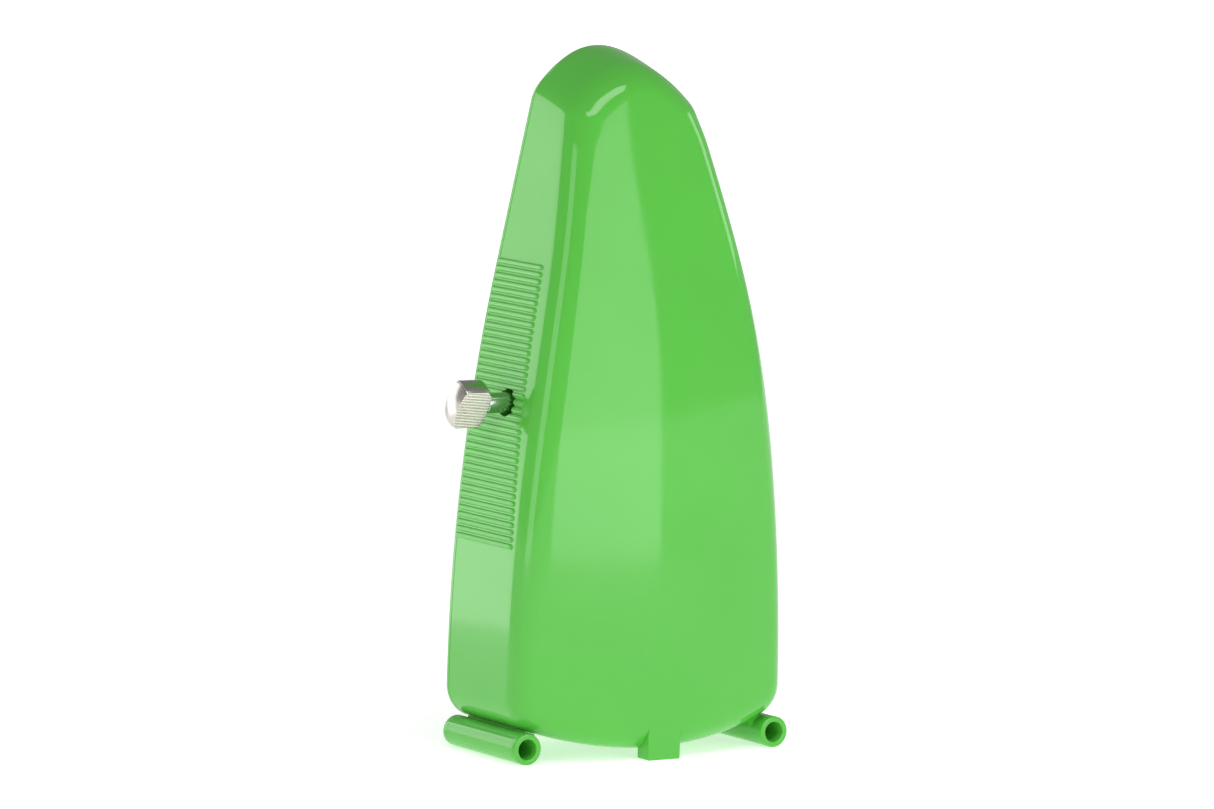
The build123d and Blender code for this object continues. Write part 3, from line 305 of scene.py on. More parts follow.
def rounded(start, end, radius_start, steps=6):
    """Points of a quarter round between two (distance, radius) places, first along the radius or not."""
    turns = np.linspace(0, math.pi / 2, steps)
    (d0, r0), (d1, r1) = start, end
    if radius_start:
        return [(d0 + (d1 - d0) * (1 - math.cos(t)), r0 + (r1 - r0) * math.sin(t)) for t in turns]
    return [(d0 + (d1 - d0) * math.sin(t), r0 + (r1 - r0) * (1 - math.cos(t))) for t in turns]


def soft_box(name, low, high, radius, segments=3):
    """A box with every edge rounded."""
    mesh = bpy.data.meshes.new(name)
    work = bmesh.new()
    size = np.asarray(high) - np.asarray(low)
    place = Matrix.Translation((np.asarray(high) + np.asarray(low)) / 2) @ Matrix.Diagonal((*size, 1))
    bmesh.ops.create_cube(work, size=1, matrix=place)
    bmesh.ops.bevel(work, geom=work.edges[:], offset=radius, segments=segments, profile=0.5, affect="EDGES")
    work.to_mesh(mesh)
    work.free()
    piece = linked(name, mesh)
    tidy_mesh(piece)
    return piece


def evaluated_mesh(piece):
    """The mesh that a piece has with its modifiers, which are then removed."""
    bpy.context.view_layer.update()
    graph = bpy.context.evaluated_depsgraph_get()
    mesh = bpy.data.meshes.new_from_object(piece.evaluated_get(graph), depsgraph=graph)
    piece.modifiers.clear()
    piece.data = mesh
    return piece


def cut(piece, cutters, operation="DIFFERENCE", smooth_angle=SMOOTH_ANGLE):
    """Cuts or joins other pieces into a piece, and removes them."""
    for cutter in cutters:
        modifier = piece.modifiers.new("cut", "BOOLEAN")
        modifier.operation = operation
        modifier.solver = "EXACT"
        modifier.object = cutter
    evaluated_mesh(piece)
    for cutter in cutters:
        bpy.data.objects.remove(cutter)
    tidy_mesh(piece, smooth_angle)
    return piece


def joined(pieces):
    """Several pieces as one, keeping the first one's name."""
    work = bmesh.new()
    for piece in pieces:
        work.from_mesh(piece.data)
    work.to_mesh(pieces[0].data)
    work.free()
    for piece in pieces[1:]:
        bpy.data.objects.remove(piece)
    pieces[0].data.shade_smooth()
    pieces[0].data.set_sharp_from_angle(angle=math.radians(SMOOTH_ANGLE))
    return pieces[0]


def settle(piece, body, material, nodes=()):
    """Gives a finished piece its material and body, and hides the CAD nodes that it stands for."""
    piece.data.materials.clear()
    piece.data.materials.append(material)
    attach(piece, body)
    if nodes:
        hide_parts(*nodes)
    return piece


# ------------------------------------------------------------------ geometry node helpers
class Nodes:
    """A node tree under construction."""

    def __init__(self, tree):
        self.tree = tree

    def node(self, kind, values=(), **options):
        """A node with its options set and its input sockets linked or set, by name or place."""
        made = self.tree.nodes.new(kind)
        for option, value in options.items():
            setattr(made, option, value)
        for socket, value in dict(values).items():
            if isinstance(value, bpy.types.NodeSocket):
                self.tree.links.new(value, made.inputs[socket])
            else:
                made.inputs[socket].default_value = value
        return made

    def math(self, operation, *values):
        return self.node("ShaderNodeMath", dict(enumerate(values)), operation=operation).outputs[0]


class Tree(Nodes):
    """A geometry node tree under construction, with named inputs."""

    def __init__(self, name, inputs):
        super().__init__(bpy.data.node_groups.new(name, "GeometryNodeTree"))
        self.tree.interface.new_socket("Geometry", in_out="INPUT", socket_type="NodeSocketGeometry")
        kinds = {float: "NodeSocketFloat", int: "NodeSocketInt", bpy.types.Material: "NodeSocketMaterial"}
        for label, kind in inputs.items():
            self.tree.interface.new_socket(label, in_out="INPUT", socket_type=kinds[kind])
        self.tree.interface.new_socket("Geometry", in_out="OUTPUT", socket_type="NodeSocketGeometry")
        self.start = self.tree.nodes.new("NodeGroupInput").outputs

    def placed(self, shape, **values):
        """A node's shape moved, turned or scaled."""
        return self.node("GeometryNodeTransform", {"Geometry": shape.outputs[0], **values})

    def less(self, shape, cutter, **values):
        """A shape with another cut out of it."""
        return self.node("GeometryNodeMeshBoolean", {0: shape, 1: cutter, **values},
                         operation="DIFFERENCE", solver="EXACT").outputs[0]

    def point(self, x=0.0, y=0.0, z=0.0):
        return self.node("ShaderNodeCombineXYZ", {0: x, 1: y, 2: z}).outputs[0]

    def finish(self, geometry):
        """Ends the tree in Realize Instances and Set Material."""
        solid = self.node("GeometryNodeRealizeInstances", {0: geometry}).outputs[0]
        painted = self.node("GeometryNodeSetMaterial", {"Geometry": solid,
                                                        "Material": self.start["Material"]})
        end = self.tree.nodes.new("NodeGroupOutput")
        self.tree.links.new(painted.outputs[0], end.inputs[0])
        return self.tree


def grown(piece, tree, values, smooth_angle=SMOOTH_ANGLE):
    """Runs a tree on a piece with the named input values, and keeps the result as a plain mesh."""
    modifier = piece.modifiers.new(tree.name, "NODES")
    modifier.node_group = tree
    for item in tree.interface.items_tree:
        if item.in_out == "INPUT" and item.name in values:
            modifier[item.identifier] = values[item.name]
    evaluated_mesh(piece)
    tidy_mesh(piece, smooth_angle)
    return piece


def blank(name):
    """An empty mesh object for a tree to fill."""
    return linked(name, bpy.data.meshes.new(name))


# ------------------------------------------------------------------ the case as a formula
def case_stretches():
    """Radius and turn of each arc of the case outline, from the ridge down one side to mid sole.

    The straight flank has its length and no turn. It and the large side arc below it are sized to end
    where the bottom corner starts.
    """
    case = settings("case")
    lean = math.radians(sum(turn for radius, turn in ROOF_RADII))
    corner_x = case.half_width - case.corner
    centre_z = case.sole + case.sole_radius
    corner_z = centre_z - math.sqrt((case.sole_radius - case.corner) ** 2 - corner_x ** 2)
    sole_turn = math.atan2(corner_x, centre_z - corner_z)
    out = drop = heading = 0.0
    for radius, turn in ROOF_RADII:
        turned = heading + math.radians(turn)
        out += radius * (math.sin(turned) - math.sin(heading))
        drop += radius * (math.cos(heading) - math.cos(turned))
        heading = turned
    side_out, side_drop = case.half_width - out, case.height - drop - corner_z
    side = (side_drop * math.cos(lean) - side_out * math.sin(lean)) / (1 - math.sin(lean))
    flank = (side_out - side * (1 - math.sin(lean))) / math.cos(lean)
    roof = [(radius, math.radians(turn)) for radius, turn in ROOF_RADII]
    return roof + [(flank, 0.0), (side, math.pi / 2 - lean), (case.corner, math.pi / 2 - sole_turn),
                   (case.sole_radius, sole_turn)]


def case_outline():
    """Points and outward directions round the case outline, seen from the front: two arrays of (x, z)."""
    points, outward = [], []
    place, heading = np.array([0.0, settings("case").height]), 0.0
    for (radius, turn), steps in zip(case_stretches(), STRETCH_STEPS):
        first = np.array([math.sin(heading), math.cos(heading)])
        run = np.array([math.cos(heading), -math.sin(heading)])
        for share in np.arange(steps + 1) / steps:
            now = heading + turn * share
            normal = np.array([math.sin(now), math.cos(now)])
            points.append(place + radius * (normal - first if turn else share * run))
            outward.append(normal)
        place = points.pop()
        outward.pop()
        heading += turn
    points.append(place)
    outward.append(np.array([0.0, -1.0]))
    points, outward = np.array(points), np.array(outward)
    mirrored = np.array([-1.0, 1.0])
    return (np.vstack([points, points[-2:0:-1] * mirrored]), np.vstack([outward,
                                                                        outward[-2:0:-1] * mirrored]))


class BackProfile:
    """The back's Y against height: a cubic curve through a few points, upright at the bottom."""

    def __init__(self):
        self.z, self.y = (np.array(column) * MM for column in zip(*BACK_PROFILE))
        gaps = np.diff(self.z)
        slopes = np.diff(self.y) / gaps
        count = len(self.z)
        system, wanted = np.eye(count), np.zeros(count)
        wanted[-1] = slopes[-1]
        for row in range(1, count - 1):
            before, after = gaps[row - 1], gaps[row]
            system[row, row - 1:row + 2] = after, 2 * (before + after), before
            wanted[row] = 3 * (after * slopes[row - 1] + before * slopes[row])
        self.slope = np.linalg.solve(system, wanted)

    def at(self, height):
        """Y and slope at heights."""
        piece = np.clip(np.searchsorted(self.z, height) - 1, 0, len(self.z) - 2)
        gap = self.z[piece + 1] - self.z[piece]
        t = (height - self.z[piece]) / gap
        y0, y1, s0, s1 = self.y[piece], self.y[piece + 1], self.slope[piece] * gap, self.slope[piece
                                                                                               + 1] * gap
        y = ((2 * t**3 - 3 * t**2 + 1) * y0 + (t**3 - 2 * t**2 + t) * s0
             + (3 * t**2 - 2 * t**3) * y1 + (t**3 - t**2) * s1)
        slope = (6 * t**2 - 6 * t) * (y0 - y1) + (3 * t**2 - 4 * t + 1) * s0 + (3 * t**2 - 2 * t) * s1
        return y, slope / gap


def back_y(profile, x, z, inset=0.0):
    """Y of the barrelled back at x and z."""
    axis_y = profile.y[0] - settings("case").crown
    y, slope = profile.at(z)
    return axis_y + np.sqrt((y - inset - axis_y) ** 2 - x**2)


def case_skin(inset, wall_rows, edge_rows, back_rows):
    """Rows of points over the case's skin, drawn in by inset: from the rim along the wall, round the back
    edge, then over the back to its middle line."""
    case = settings("case")
    profile = BackProfile()
    points, outward = case_outline()
    points = points - inset * outward
    radius = case.edge - inset
    axis_y = profile.y[0] - case.crown
    x, height = (points - radius * outward).T
    level = height
    for _ in range(8):
        y, slope = profile.at(level)
        level = height - radius * slope / np.sqrt(1 + slope**2)
    flare = 1 / np.sqrt(1 + slope**2)
    reach = y - inset - axis_y - radius * flare
    centre = loop(x, axis_y + np.sqrt(reach**2 - x**2), height)
    side = loop(outward[:, 0], 0.0, outward[:, 1])
    back = loop(flare * x / reach, flare * (centre[:, 1] - axis_y) / reach, -slope * flare)
    rows = []
    for share in np.linspace(0, 1, wall_rows, endpoint=False):
        rows.append(loop(points[:, 0], RIM_Y + share * (centre[:, 1] - RIM_Y), points[:, 1]))
    turn = np.arccos(np.clip((side * back).sum(axis=1), -1, 1))[:, None]
    for share in np.linspace(0, 1, edge_rows):
        blend = (np.sin((1 - share) * turn) * side + np.sin(share * turn) * back) / np.sin(turn)
        rows.append(centre + radius * blend)
    rim = rows[-1]
    low, high = case.sole + 2.5 * case.edge, case.height - 4 * case.edge
    middle = np.clip(rim[:, 2], low, high)
    for share in np.linspace(0, 1, back_rows + 1)[1:]:
        x, z = rim[:, 0] * (1 - share), rim[:, 2] + share * (middle - rim[:, 2])
        rows.append(loop(x, back_y(profile, x, z, inset), z))
    return rows


def hipped(rows):
    """Lowers the roof towards the back. Points slide down along the back's own curve, so that the back
    keeps its shape. The rim and everything below the roof stay where they are."""
    case = settings("case")
    profile = BackProfile()
    rows = np.array(rows)
    y, z = rows[..., 1], rows[..., 2]
    back, _ = profile.at(z)
    depth = np.clip((y - RIM_Y) / (back - RIM_Y), 0, 1)
    rise = np.clip((z - case.hip_from) / (case.height - case.hip_from) / ROOF_FULL, 0, 1)
    lowered = z - case.hip_drop * depth**ROOF_POWER * rise * rise * (3 - 2 * rise)
    rows[..., 1] = y + depth * (profile.at(lowered)[0] - back)
    rows[..., 2] = lowered
    return rows


def outline_ring(section):
    """Rows round the case outline for a section given as (inset, y) pairs."""
    points, outward = case_outline()
    rows = []
    for inset, y in section:
        drawn = points - inset * outward
        rows.append(loop(drawn[:, 0], y, drawn[:, 1]))
    return rows


def capped(rows):
    """Rows with their first and last loops closed to a middle line, so that a solid plate comes out."""
    def middle(row):
        line = row.copy()
        line[:, 0] = 0
        inset = 8 * MM
        line[:, 2] = np.clip(line[:, 2], row[:, 2].min() + inset, row[:, 2].max() - inset)
        return line
    return [middle(rows[0])] + list(rows) + [middle(rows[-1])]


# ------------------------------------------------------------------ shader helpers
class Shader(Nodes):
    """A shader node group or material under construction."""

    def noise(self, place, scale, detail, roughness=0.5):
        """A value that drifts over the piece."""
        return self.node("ShaderNodeTexNoise", {"Vector": place, "Scale": scale, "Detail": detail,
                                                "Roughness": roughness}).outputs[0]

    def mixed(self, share, first, second):
        """A colour between two others."""
        mix = self.node("ShaderNodeMix", {0: share, 6: first, 7: second}, data_type="RGBA")
        return mix.outputs[2]

    def ranged(self, value, low, high, new_low, new_high):
        return self.node("ShaderNodeMapRange", {0: value, 1: low, 2: high, 3: new_low,
                                                4: new_high}).outputs[0]


def shader_group(name, inputs, outputs, build):
    """A shader node group with named sockets, built once."""
    if name in bpy.data.node_groups:
        return bpy.data.node_groups[name]
    tree = bpy.data.node_groups.new(name, "ShaderNodeTree")
    kinds = {"value": "NodeSocketFloat", "colour": "NodeSocketColor", "vector": "NodeSocketVector"}
    for label, kind in inputs:
        tree.interface.new_socket(label, in_out="INPUT", socket_type=kinds[kind])
    for label, kind in outputs:
        tree.interface.new_socket(label, in_out="OUTPUT", socket_type=kinds[kind])
    start, end = tree.nodes.new("NodeGroupInput"), tree.nodes.new("NodeGroupOutput")
    for label, socket in build(Shader(tree), start.outputs).items():
        tree.links.new(socket, end.inputs[label])
    return tree


def build_moulding(shader, start):
    """Slow drift of colour, faint flow marks and a trace of fine scratches, as on a glossy moulding."""
    drift = shader.noise(start["Place"], 22.0, 2.0)
    flow = shader.noise(start["Place"], 140.0, 3.0, 0.6)
    stretched = shader.node("ShaderNodeMapping", {"Vector": start["Place"], "Scale": (1.0, 1.0, 0.06),
                                                  "Rotation": (0.35, 0.2, 0.5)})
    scratch = shader.noise(stretched.outputs[0], 2600.0, 1.0)
    lines = shader.ranged(scratch, 0.70, 0.76, 0.0, 1.0)
    share = shader.ranged(drift, 0.3, 0.7, 0.0, start["Variation"])
    shade = shader.mixed(share, start["Colour"], start["Shade"])
    dull = shader.math("MULTIPLY", shader.ranged(flow, 0.35, 0.7, 0.0, 1.0), start["Dulling"])
    rough = shader.math("ADD", start["Roughness"], dull)
    worn = shader.math("MULTIPLY_ADD", lines, start["Dulling"], rough)
    height = shader.math("MULTIPLY", shader.noise(start["Place"], 900.0, 2.0), start["Grain"])
    return {"Colour": shade, "Roughness": worn, "Height": height}


def build_tooling(shader, start):
    """Fine parallel or circular tool marks over metal, with a little staining."""
    place = shader.node("ShaderNodeMapping", {"Vector": start["Place"], "Scale": start["Stretch"]})
    marks = shader.noise(place.outputs[0], 1.0, 4.0, 0.7)
    stain = shader.noise(start["Place"], 160.0, 4.0, 0.62)
    share = shader.ranged(stain, 0.42, 0.72, 0.0, start["Staining"])
    shade = shader.mixed(share, start["Colour"], start["Stain"])
    lift = shader.ranged(marks, 0.3, 0.7, -0.5, 0.5)
    rough = shader.math("MULTIPLY_ADD", lift, start["Spread"], start["Roughness"])
    height = shader.math("MULTIPLY", marks, start["Depth"])
    return {"Colour": shade, "Roughness": rough, "Height": height}


def new_material(name):
    material = bpy.data.materials.new(name)
    material.use_nodes = True
    material.node_tree.nodes.clear()
    return material, Shader(material.node_tree)


def object_place(shader):
    return shader.node("ShaderNodeTexCoord").outputs["Object"]


def close_material(shader, group, bump, **constants):
    """Ends a material in a Principled BSDF fed by a group's colour, roughness and height."""
    surface = shader.node("ShaderNodeBsdfPrincipled")
    for socket, value in constants.items():
        surface.inputs[socket.replace("_", " ")].default_value = value
    links = shader.tree.links
    links.new(group.outputs["Colour"], surface.inputs["Base Color"])
    links.new(group.outputs["Roughness"], surface.inputs["Roughness"])
    relief = shader.node("ShaderNodeBump", {"Height": group.outputs["Height"], "Strength": 1.0,
                                            "Distance": bump})
    links.new(relief.outputs[0], surface.inputs["Normal"])
    end = shader.node("ShaderNodeOutputMaterial")
    links.new(surface.outputs[0], end.inputs[0])


def grouped(name, family, build, values, bump, **constants):
    """A material fed by a node group of its family. The group's sockets take their kinds from the values."""
    kinds = {1: "value", 3: "vector", 4: "colour"}
    sockets = [("Place", "vector")] + [(label, kinds[np.size(value)]) for label, value in values.items()]
    made = [("Colour", "colour"), ("Roughness", "value"), ("Height", "value")]
    tree = shader_group(family, sockets, made, build)
    material, shader = new_material(name)
    group = shader.node("ShaderNodeGroup", node_tree=tree)
    for label, value in values.items():
        group.inputs[label].default_value = value
    shader.tree.links.new(object_place(shader), group.inputs["Place"])
    close_material(shader, group, bump, **constants)
    return material


def tinted(tone, share=1.0):
    """A colour with its alpha, darkened to a share of itself."""
    return (*(share * c for c in tone), 1)


def moulded(name, tone, roughness, dulling, grain, variation=0.5, **constants):
    """A moulded plastic."""
    return grouped(name, "Moulding", build_moulding, {
        "Colour": tinted(tone), "Shade": tinted(tone, SHADE), "Variation": variation, "Roughness": roughness,
        "Dulling": dulling, "Grain": grain}, 0.02 * MM, **constants)


def metal(name, tone, roughness, stretch, depth=0.4, spread=0.12, staining=0.5, stain=0.7):
    """A metal with tool marks; stretch gives the marks for each millimetre along X, Y and Z."""
    return grouped(name, "Tooling", build_tooling, {
        "Stretch": tuple(s / MM for s in stretch), "Colour": tinted(tone), "Stain": tinted(tone, stain),
        "Staining": staining, "Roughness": roughness, "Spread": spread, "Depth": depth}, 0.01 * MM,
        Metallic=1.0)


FINISHES = {}


def finishes():
    """Every finish by its slot name, made once."""
    if not FINISHES:
        look = settings("finish")
        FINISHES.update({
            "green_case": moulded("GlossGreenMoulding", look.green, 0.06, 0.05, 0.25, IOR=1.5),
            "dial": moulded("DialPlastic", look.dial, 0.32, 0.1, 0.8, 0.3),
            "ink": moulded("DialInk", look.ink, 0.4, 0.1, 0.3),
            "clip_plastic": moulded("ClipPlastic", look.clip, 0.36, 0.12, 1.0),
            "nickel": metal("TurnedNickel", look.nickel, 0.20, (0.3, 5, 5)),
            "steel": metal("PolishedSteel", look.steel, 0.16, (4, 0.6, 0.6)),
            "screw_steel": metal("ZincScrews", look.steel, 0.3, (3, 3, 3), stain=0.6),
            "frame_brass": metal("BrushedBrass", look.brass, 0.28, (3, 0.4, 6)),
            "wheel_brass": metal("MachinedBrass", look.brass, 0.2, (5, 2, 2)),
            "spring_steel": metal("BluedSteel", look.blued, 0.22, (4, 1, 1)),
            "weight_metal": metal("SatinNickel", look.nickel, 0.26, (0.4, 4, 4)),
        })
    return FINISHES


# ------------------------------------------------------------------ trees for what repeats
def rib_tree():
    """Half-round ribs with domed rear ends, following the side arc, and cleared round the key hole."""
    tree = Tree("Grip Ribs", {
        "Count": int, "Pitch": float, "Lowest": float, "Radius": float, "Proud": float, "Front": float,
        "Rear Low": float, "Rear High": float, "Side": float, "Half Width": float, "Side Radius": float,
        "Corner Height": float, "Hole Radius": float, "Hole Y": float, "Hole Z": float,
        "Material": bpy.types.Material,
    })
    start = tree.start
    posts = tree.node("GeometryNodeMeshLine", {
        "Count": start["Count"], "Start Location": tree.point(z=start["Lowest"]),
        "Offset": tree.point(z=start["Pitch"])})
    unit = tree.node("GeometryNodeCurvePrimitiveLine", {"Start": (0, 0, 0), "End": (0, 1, 0)})
    fine = tree.node("GeometryNodeResampleCurve", {"Curve": unit.outputs[0], "Count": RIB_STEPS})
    bars = tree.node("GeometryNodeInstanceOnPoints", {"Points": posts.outputs[0],
                                                      "Instance": fine.outputs[0]})
    lines = tree.node("GeometryNodeRealizeInstances", {0: bars.outputs[0]}).outputs[0]
    place = tree.node("ShaderNodeSeparateXYZ", {0: tree.node("GeometryNodeInputPosition").outputs[0]})
    height = place.outputs["Z"]
    order = tree.node("GeometryNodeSplineParameter").outputs["Index"]
    share = tree.math("DIVIDE", order, RIB_STEPS - 1.0)
    span = tree.math("MULTIPLY", start["Pitch"], tree.math("SUBTRACT", start["Count"], 1.0))
    climb = tree.math("DIVIDE", tree.math("SUBTRACT", height, start["Lowest"]), span)
    rear = tree.node("ShaderNodeMix", {0: climb, 2: start["Rear Low"], 3: start["Rear High"]}).outputs[0]
    dome = tree.node("ShaderNodeMapRange", {0: share, 1: RIB_DOME, 2: 1.0, 3: 0.0,
                                            4: math.pi / 2 - 0.03}).outputs[0]
    run = tree.node("ShaderNodeMapRange", {0: share, 1: 0.0, 2: RIB_DOME, 3: 0.0, 4: 1.0}).outputs[0]
    straight = tree.math("SUBTRACT", tree.math("SUBTRACT", rear, start["Radius"]), start["Front"])
    along = tree.math("MULTIPLY_ADD", straight, run, start["Front"])
    y = tree.math("MULTIPLY_ADD", tree.math("SINE", dome), start["Radius"], along)
    rise = tree.math("SUBTRACT", height, start["Corner Height"])
    chord = tree.math("SQRT", tree.math("SUBTRACT", tree.math("POWER", start["Side Radius"], 2.0),
                                        tree.math("POWER", rise, 2.0)))
    flat = tree.math("SUBTRACT", start["Half Width"], start["Side Radius"])
    stand = tree.math("SUBTRACT", start["Proud"], start["Radius"])
    x = tree.math("MULTIPLY", tree.math("ADD", tree.math("ADD", chord, flat), stand), start["Side"])
    moved = tree.node("GeometryNodeSetPosition", {"Geometry": lines, "Position": tree.point(x, y, height)})
    section = tree.node("GeometryNodeCurvePrimitiveCircle", {"Resolution": 20, "Radius": start["Radius"]})
    solid = tree.node("GeometryNodeCurveToMesh", {
        "Curve": moved.outputs[0], "Profile Curve": section.outputs[0], "Scale": tree.math("COSINE", dome),
        "Fill Caps": True})
    drill = tree.node("GeometryNodeMeshCylinder", {"Vertices": 64, "Radius": start["Hole Radius"],
                                                   "Depth": 0.02})
    hole = tree.placed(drill, Rotation=(0, math.pi / 2, 0),
                       Translation=tree.point(start["Half Width"], start["Hole Y"], start["Hole Z"]))
    return tree.finish(tree.less(solid.outputs[0], hole.outputs[0]))


def groove_tree():
    """Cuts two flats into a turned blank lying along X, with fine grooves along X on both."""
    tree = Tree("Grooved Flats", {
        "Count": int, "Pitch": float, "Depth": float, "Half Thickness": float, "Reach": float, "Lean": float,
        "Axis X": float, "Axis Y": float, "Axis Z": float, "Material": bpy.types.Material,
    })
    start = tree.start
    double = tree.math("MULTIPLY", start["Reach"], 2.0)
    slab = tree.node("GeometryNodeMeshCube", {"Size": tree.point(double, start["Reach"], double)})
    away = tree.math("MULTIPLY_ADD", start["Reach"], 0.5, start["Half Thickness"])
    width = tree.math("MULTIPLY", start["Pitch"], tree.math("SUBTRACT", start["Count"], 1.0))
    lowest = tree.math("MULTIPLY", width, -0.5)
    spots = tree.node("GeometryNodeMeshLine", {
        "Count": start["Count"], "Start Location": tree.point(z=lowest),
        "Offset": tree.point(z=start["Pitch"])})
    cutter = tree.node("GeometryNodeMeshCylinder", {
        "Vertices": 4, "Radius": start["Depth"], "Depth": double})
    wide = tree.placed(tree.placed(cutter, Rotation=(0, math.pi / 2, 0)), Scale=(1.0, 1.0, 1.6))
    marks = tree.node("GeometryNodeInstanceOnPoints", {"Points": spots.outputs[0],
                                                       "Instance": wide.outputs[0]})
    cutters = tree.node("GeometryNodeJoinGeometry")
    for side in (-1.0, 1.0):
        shift = tree.point(y=tree.math("MULTIPLY", away, side))
        edge = tree.point(y=tree.math("MULTIPLY", start["Half Thickness"], side))
        for shape, place in ((slab, shift), (marks, edge)):
            tree.tree.links.new(tree.placed(shape, Translation=place).outputs[0], cutters.inputs[0])
    turned = tree.placed(cutters, Rotation=tree.point(start["Lean"]),
                         Translation=tree.point(start["Axis X"], start["Axis Y"], start["Axis Z"]))
    solid = tree.node("GeometryNodeRealizeInstances", {0: turned.outputs[0]})
    return tree.finish(tree.less(start["Geometry"], solid.outputs[0], **{"Self Intersection": True}))


def screw_tree():
    """Slotted pan heads standing on the points of a mesh, all facing the same way along Y."""
    tree = Tree("Slotted Screws", {"Radius": float, "Height": float, "Slot": float, "Facing": float,
                                   "Length": float, "Material": bpy.types.Material})
    start = tree.start
    ball = tree.node("GeometryNodeMeshUVSphere", {"Segments": 32, "Rings": 16, "Radius": start["Radius"]})
    flat = tree.math("DIVIDE", start["Height"], start["Radius"])
    dome = tree.placed(ball, Scale=tree.point(1.0, flat, 1.0))
    double = tree.math("MULTIPLY", start["Radius"], 3.0)
    bar = tree.node("GeometryNodeMeshCube", {"Size": tree.point(double, start["Height"], start["Slot"])})
    lift = tree.math("MULTIPLY", start["Height"], start["Facing"])
    head = tree.less(dome.outputs[0], tree.placed(bar, Translation=tree.point(y=lift)).outputs[0])
    pin = tree.node("GeometryNodeMeshCylinder", {
        "Vertices": 20, "Radius": tree.math("MULTIPLY", start["Radius"], 0.5), "Depth": start["Length"]})
    behind = tree.math("MULTIPLY", tree.math("MULTIPLY", start["Length"], -0.5), start["Facing"])
    shank = tree.placed(pin, Rotation=(math.pi / 2, 0, 0), Translation=tree.point(y=behind)).outputs[0]
    screw = tree.node("GeometryNodeJoinGeometry")
    for part in (shank, head):
        tree.tree.links.new(part, screw.inputs[0])
    screws = tree.node("GeometryNodeInstanceOnPoints", {"Points": start["Geometry"],
                                                        "Instance": screw.outputs[0]})
    return tree.finish(screws.outputs[0])


# ------------------------------------------------------------------ operators
class METRONOME_OT_case(bpy.types.Operator):
    """Moulds the rear case with its rear foot, screw bosses, peg holes and key hole"""
    bl_idname = "metronome.case"
    bl_label = "Rear case"

    def execute(self, context):
        case, green = settings("case"), finishes()["green_case"]
        outer = case_skin(0.0, 12, 16, 26)
        soft = 0.12 * MM
        outer[0] = outer[0].copy()
        outer[0][:, 1] += soft
        points, outward = case_outline()
        lip = [loop(p[:, 0], RIM_Y, p[:, 1])
               for p in (points - soft * outward, points - case.wall * outward)]
        inner = case_skin(case.wall, 6, 10, 14)[1:]
        shell = swept("case_shell", hipped(outer[::-1] + lip + inner))
        drills = [lathe("drill_key", [(0.02, 0), (0.02, case.hole), (CASE_HIGH[0], case.hole),
                                      (CASE_HIGH[0], 0)],
                        "X", (0, KEY_Y, KEY_Z))]
        for side in (-1, 1):
            for peg_y in PEG_Y:
                room = PEG_RADIUS + FIT_GAP
                drills.append(lathe("drill_peg", [(0, 0), (0, room), (PEG_TOP, room), (PEG_TOP, 0)], "Z",
                                    (side * PEG_X, peg_y, 0), 24))
        cut(shell, drills)
        parts = [shell] + self.bosses()
        settle(joined(parts), "case", green, ["rear_case"])
        settle(self.foot(), "case", green)
        return {"FINISHED"}

    def bosses(self):
        """Four drilled posts from the back wall to the movement."""
        profile = BackProfile()
        made = []
        for index, (x, z) in enumerate((x, z) for x in (-BOSS_X, BOSS_X) for z in BOSS_Z):
            root = back_y(profile, x, z, settings("case").wall / 2)
            section = [(BRIDGE_HIGH[1], 0.8 * MM), (BRIDGE_HIGH[1], 2.6 * MM), (root, 2.6 * MM), (root, 0.0),
                       (root - MM, 0.0), (root - MM, 0.8 * MM), (BRIDGE_HIGH[1], 0.8 * MM)]
            made.append(lathe(f"boss_{index}", section, "Y", (x, 0, z), 32))
        return made

    def foot(self):
        """The tab under the back. Its rear face carries the back's own curve straight down, and its front
        face follows the middle of the wall until both run out in the moulding."""
        case = settings("case")
        profile = BackProfile()
        half, corner, flush = case.foot_width / 2, 0.3 * MM, 0.008 * MM
        deep, bend = case.foot_width * 0.294, case.edge - case.wall / 2
        centre_y, top = profile.y[0] - case.edge, case.sole + case.edge
        heights = [(0, 0.3), (0.04, 0.14), (0.12, 0.05), (0.3, 0), (1.2, 0), (2.1, 0)]
        heights += [(z, 0) for z in np.linspace(3.0, top / MM, 7)]
        rows = []
        for height, draw in heights:
            z, draw = height * MM, draw * MM
            front = -deep + draw
            if z > top - bend:
                front = max(front, centre_y + math.sqrt(bend**2 - (top - z) ** 2))
            ring = []
            for x_side, y_side, first in ((-1, -1, 180), (1, -1, 270), (1, 1, 0), (-1, 1, 90)):
                for turn in np.radians(np.linspace(first, first + 90, 5)):
                    x = x_side * (half - draw - corner) + corner * math.cos(turn)
                    rear = float(back_y(profile, x, z)) - flush - draw
                    base = rear - corner if y_side > 0 else front + corner
                    ring.append((x, base + corner * math.sin(turn), z))
            rows.append(ring)
        rows = np.array(rows)
        ends = rows.mean(axis=1, keepdims=True).repeat(rows.shape[1], axis=1)
        return swept("rear_foot", np.concatenate([ends[:1], rows, ends[-1:]]))


